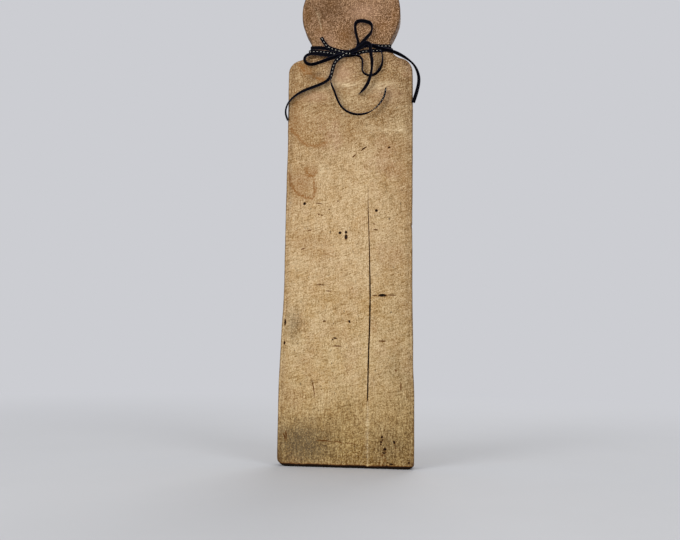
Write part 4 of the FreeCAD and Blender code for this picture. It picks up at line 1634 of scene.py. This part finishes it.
class BREADBOARD_OT_loops(bpy.types.Operator):
    """Make the bow's loops"""

    bl_idname = "bread_board.loops"
    bl_label = "Loops"

    def execute(self, context):
        for name in ("left_loop", "top_loop"):
            free_strip(name)
        return {"FINISHED"}


class BREADBOARD_OT_ends(bpy.types.Operator):
    """Make the loose ends of the ribbon, and the lower loop that is tucked over a turn"""

    bl_idname = "bread_board.ends"
    bl_label = "Loose ends"

    def execute(self, context):
        for name in ("short_end", "left_tail", "curled_tail", "middle_tail", "right_tail"):
            free_strip(name)
        free_strip("lower_loop")
        return {"FINISHED"}


class BREADBOARD_OT_knot(bpy.types.Operator):
    """Draw the ribbon tight over the bow's middle"""

    bl_idname = "bread_board.knot"
    bl_label = "Knot"

    def execute(self, context):
        ribbon = context.scene.bread_board.ribbon
        cloth, thread = ribbon_materials()
        piece = new_object("knot", knot_mesh("knot", ribbon), cloth)
        seam = [knot_point(SEAM_SHARE, math.radians(angle), ribbon) for angle in SEAM_ANGLES]
        sewn = stitches("knot_stitches", seam, [FRONT] * len(seam), ribbon, thread)
        hold((piece, sewn))
        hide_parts("bow_knot")
        return {"FINISHED"}


class BREADBOARD_PT_panel(bpy.types.Panel):
    """The bread board's pieces in the sidebar"""

    bl_idname = "BREADBOARD_PT_panel"
    bl_label = "Bread board"
    bl_space_type = "VIEW_3D"
    bl_region_type = "UI"
    bl_category = "Bread board"

    def draw(self, context):
        given = context.scene.bread_board
        for group in (given.board, given.wood, given.ribbon, given.cloth, given.stage):
            box = self.layout.box()
            box.label(text=group.bl_rna.name)
            for name in group.bl_rna.properties.keys():
                if name not in ("rna_type", "name"):
                    box.prop(group, name)
        for operator in OPERATORS:
            self.layout.operator(operator.bl_idname)


OPERATORS = (
    BREADBOARD_OT_stage,
    BREADBOARD_OT_board,
    BREADBOARD_OT_turns,
    BREADBOARD_OT_loops,
    BREADBOARD_OT_ends,
    BREADBOARD_OT_knot,
)
GROUPS = (BoardSizes, WoodColours, RibbonSizes, RibbonColours, StageSettings, BreadBoardSettings)
CLASSES = (*GROUPS, *OPERATORS, BREADBOARD_PT_panel)


def register():
    for cls in CLASSES:
        bpy.utils.register_class(cls)
    bpy.types.Scene.bread_board = bpy.props.PointerProperty(type=BreadBoardSettings)


def unregister():
    del bpy.types.Scene.bread_board
    for cls in reversed(CLASSES):
        bpy.utils.unregister_class(cls)


def main():
    register()
    bpy.ops.bread_board.stage()
    bpy.ops.bread_board.board()
    bpy.ops.bread_board.turns()
    bpy.ops.bread_board.loops()
    bpy.ops.bread_board.ends()
    bpy.ops.bread_board.knot()


if __name__ == "__main__":
    main()
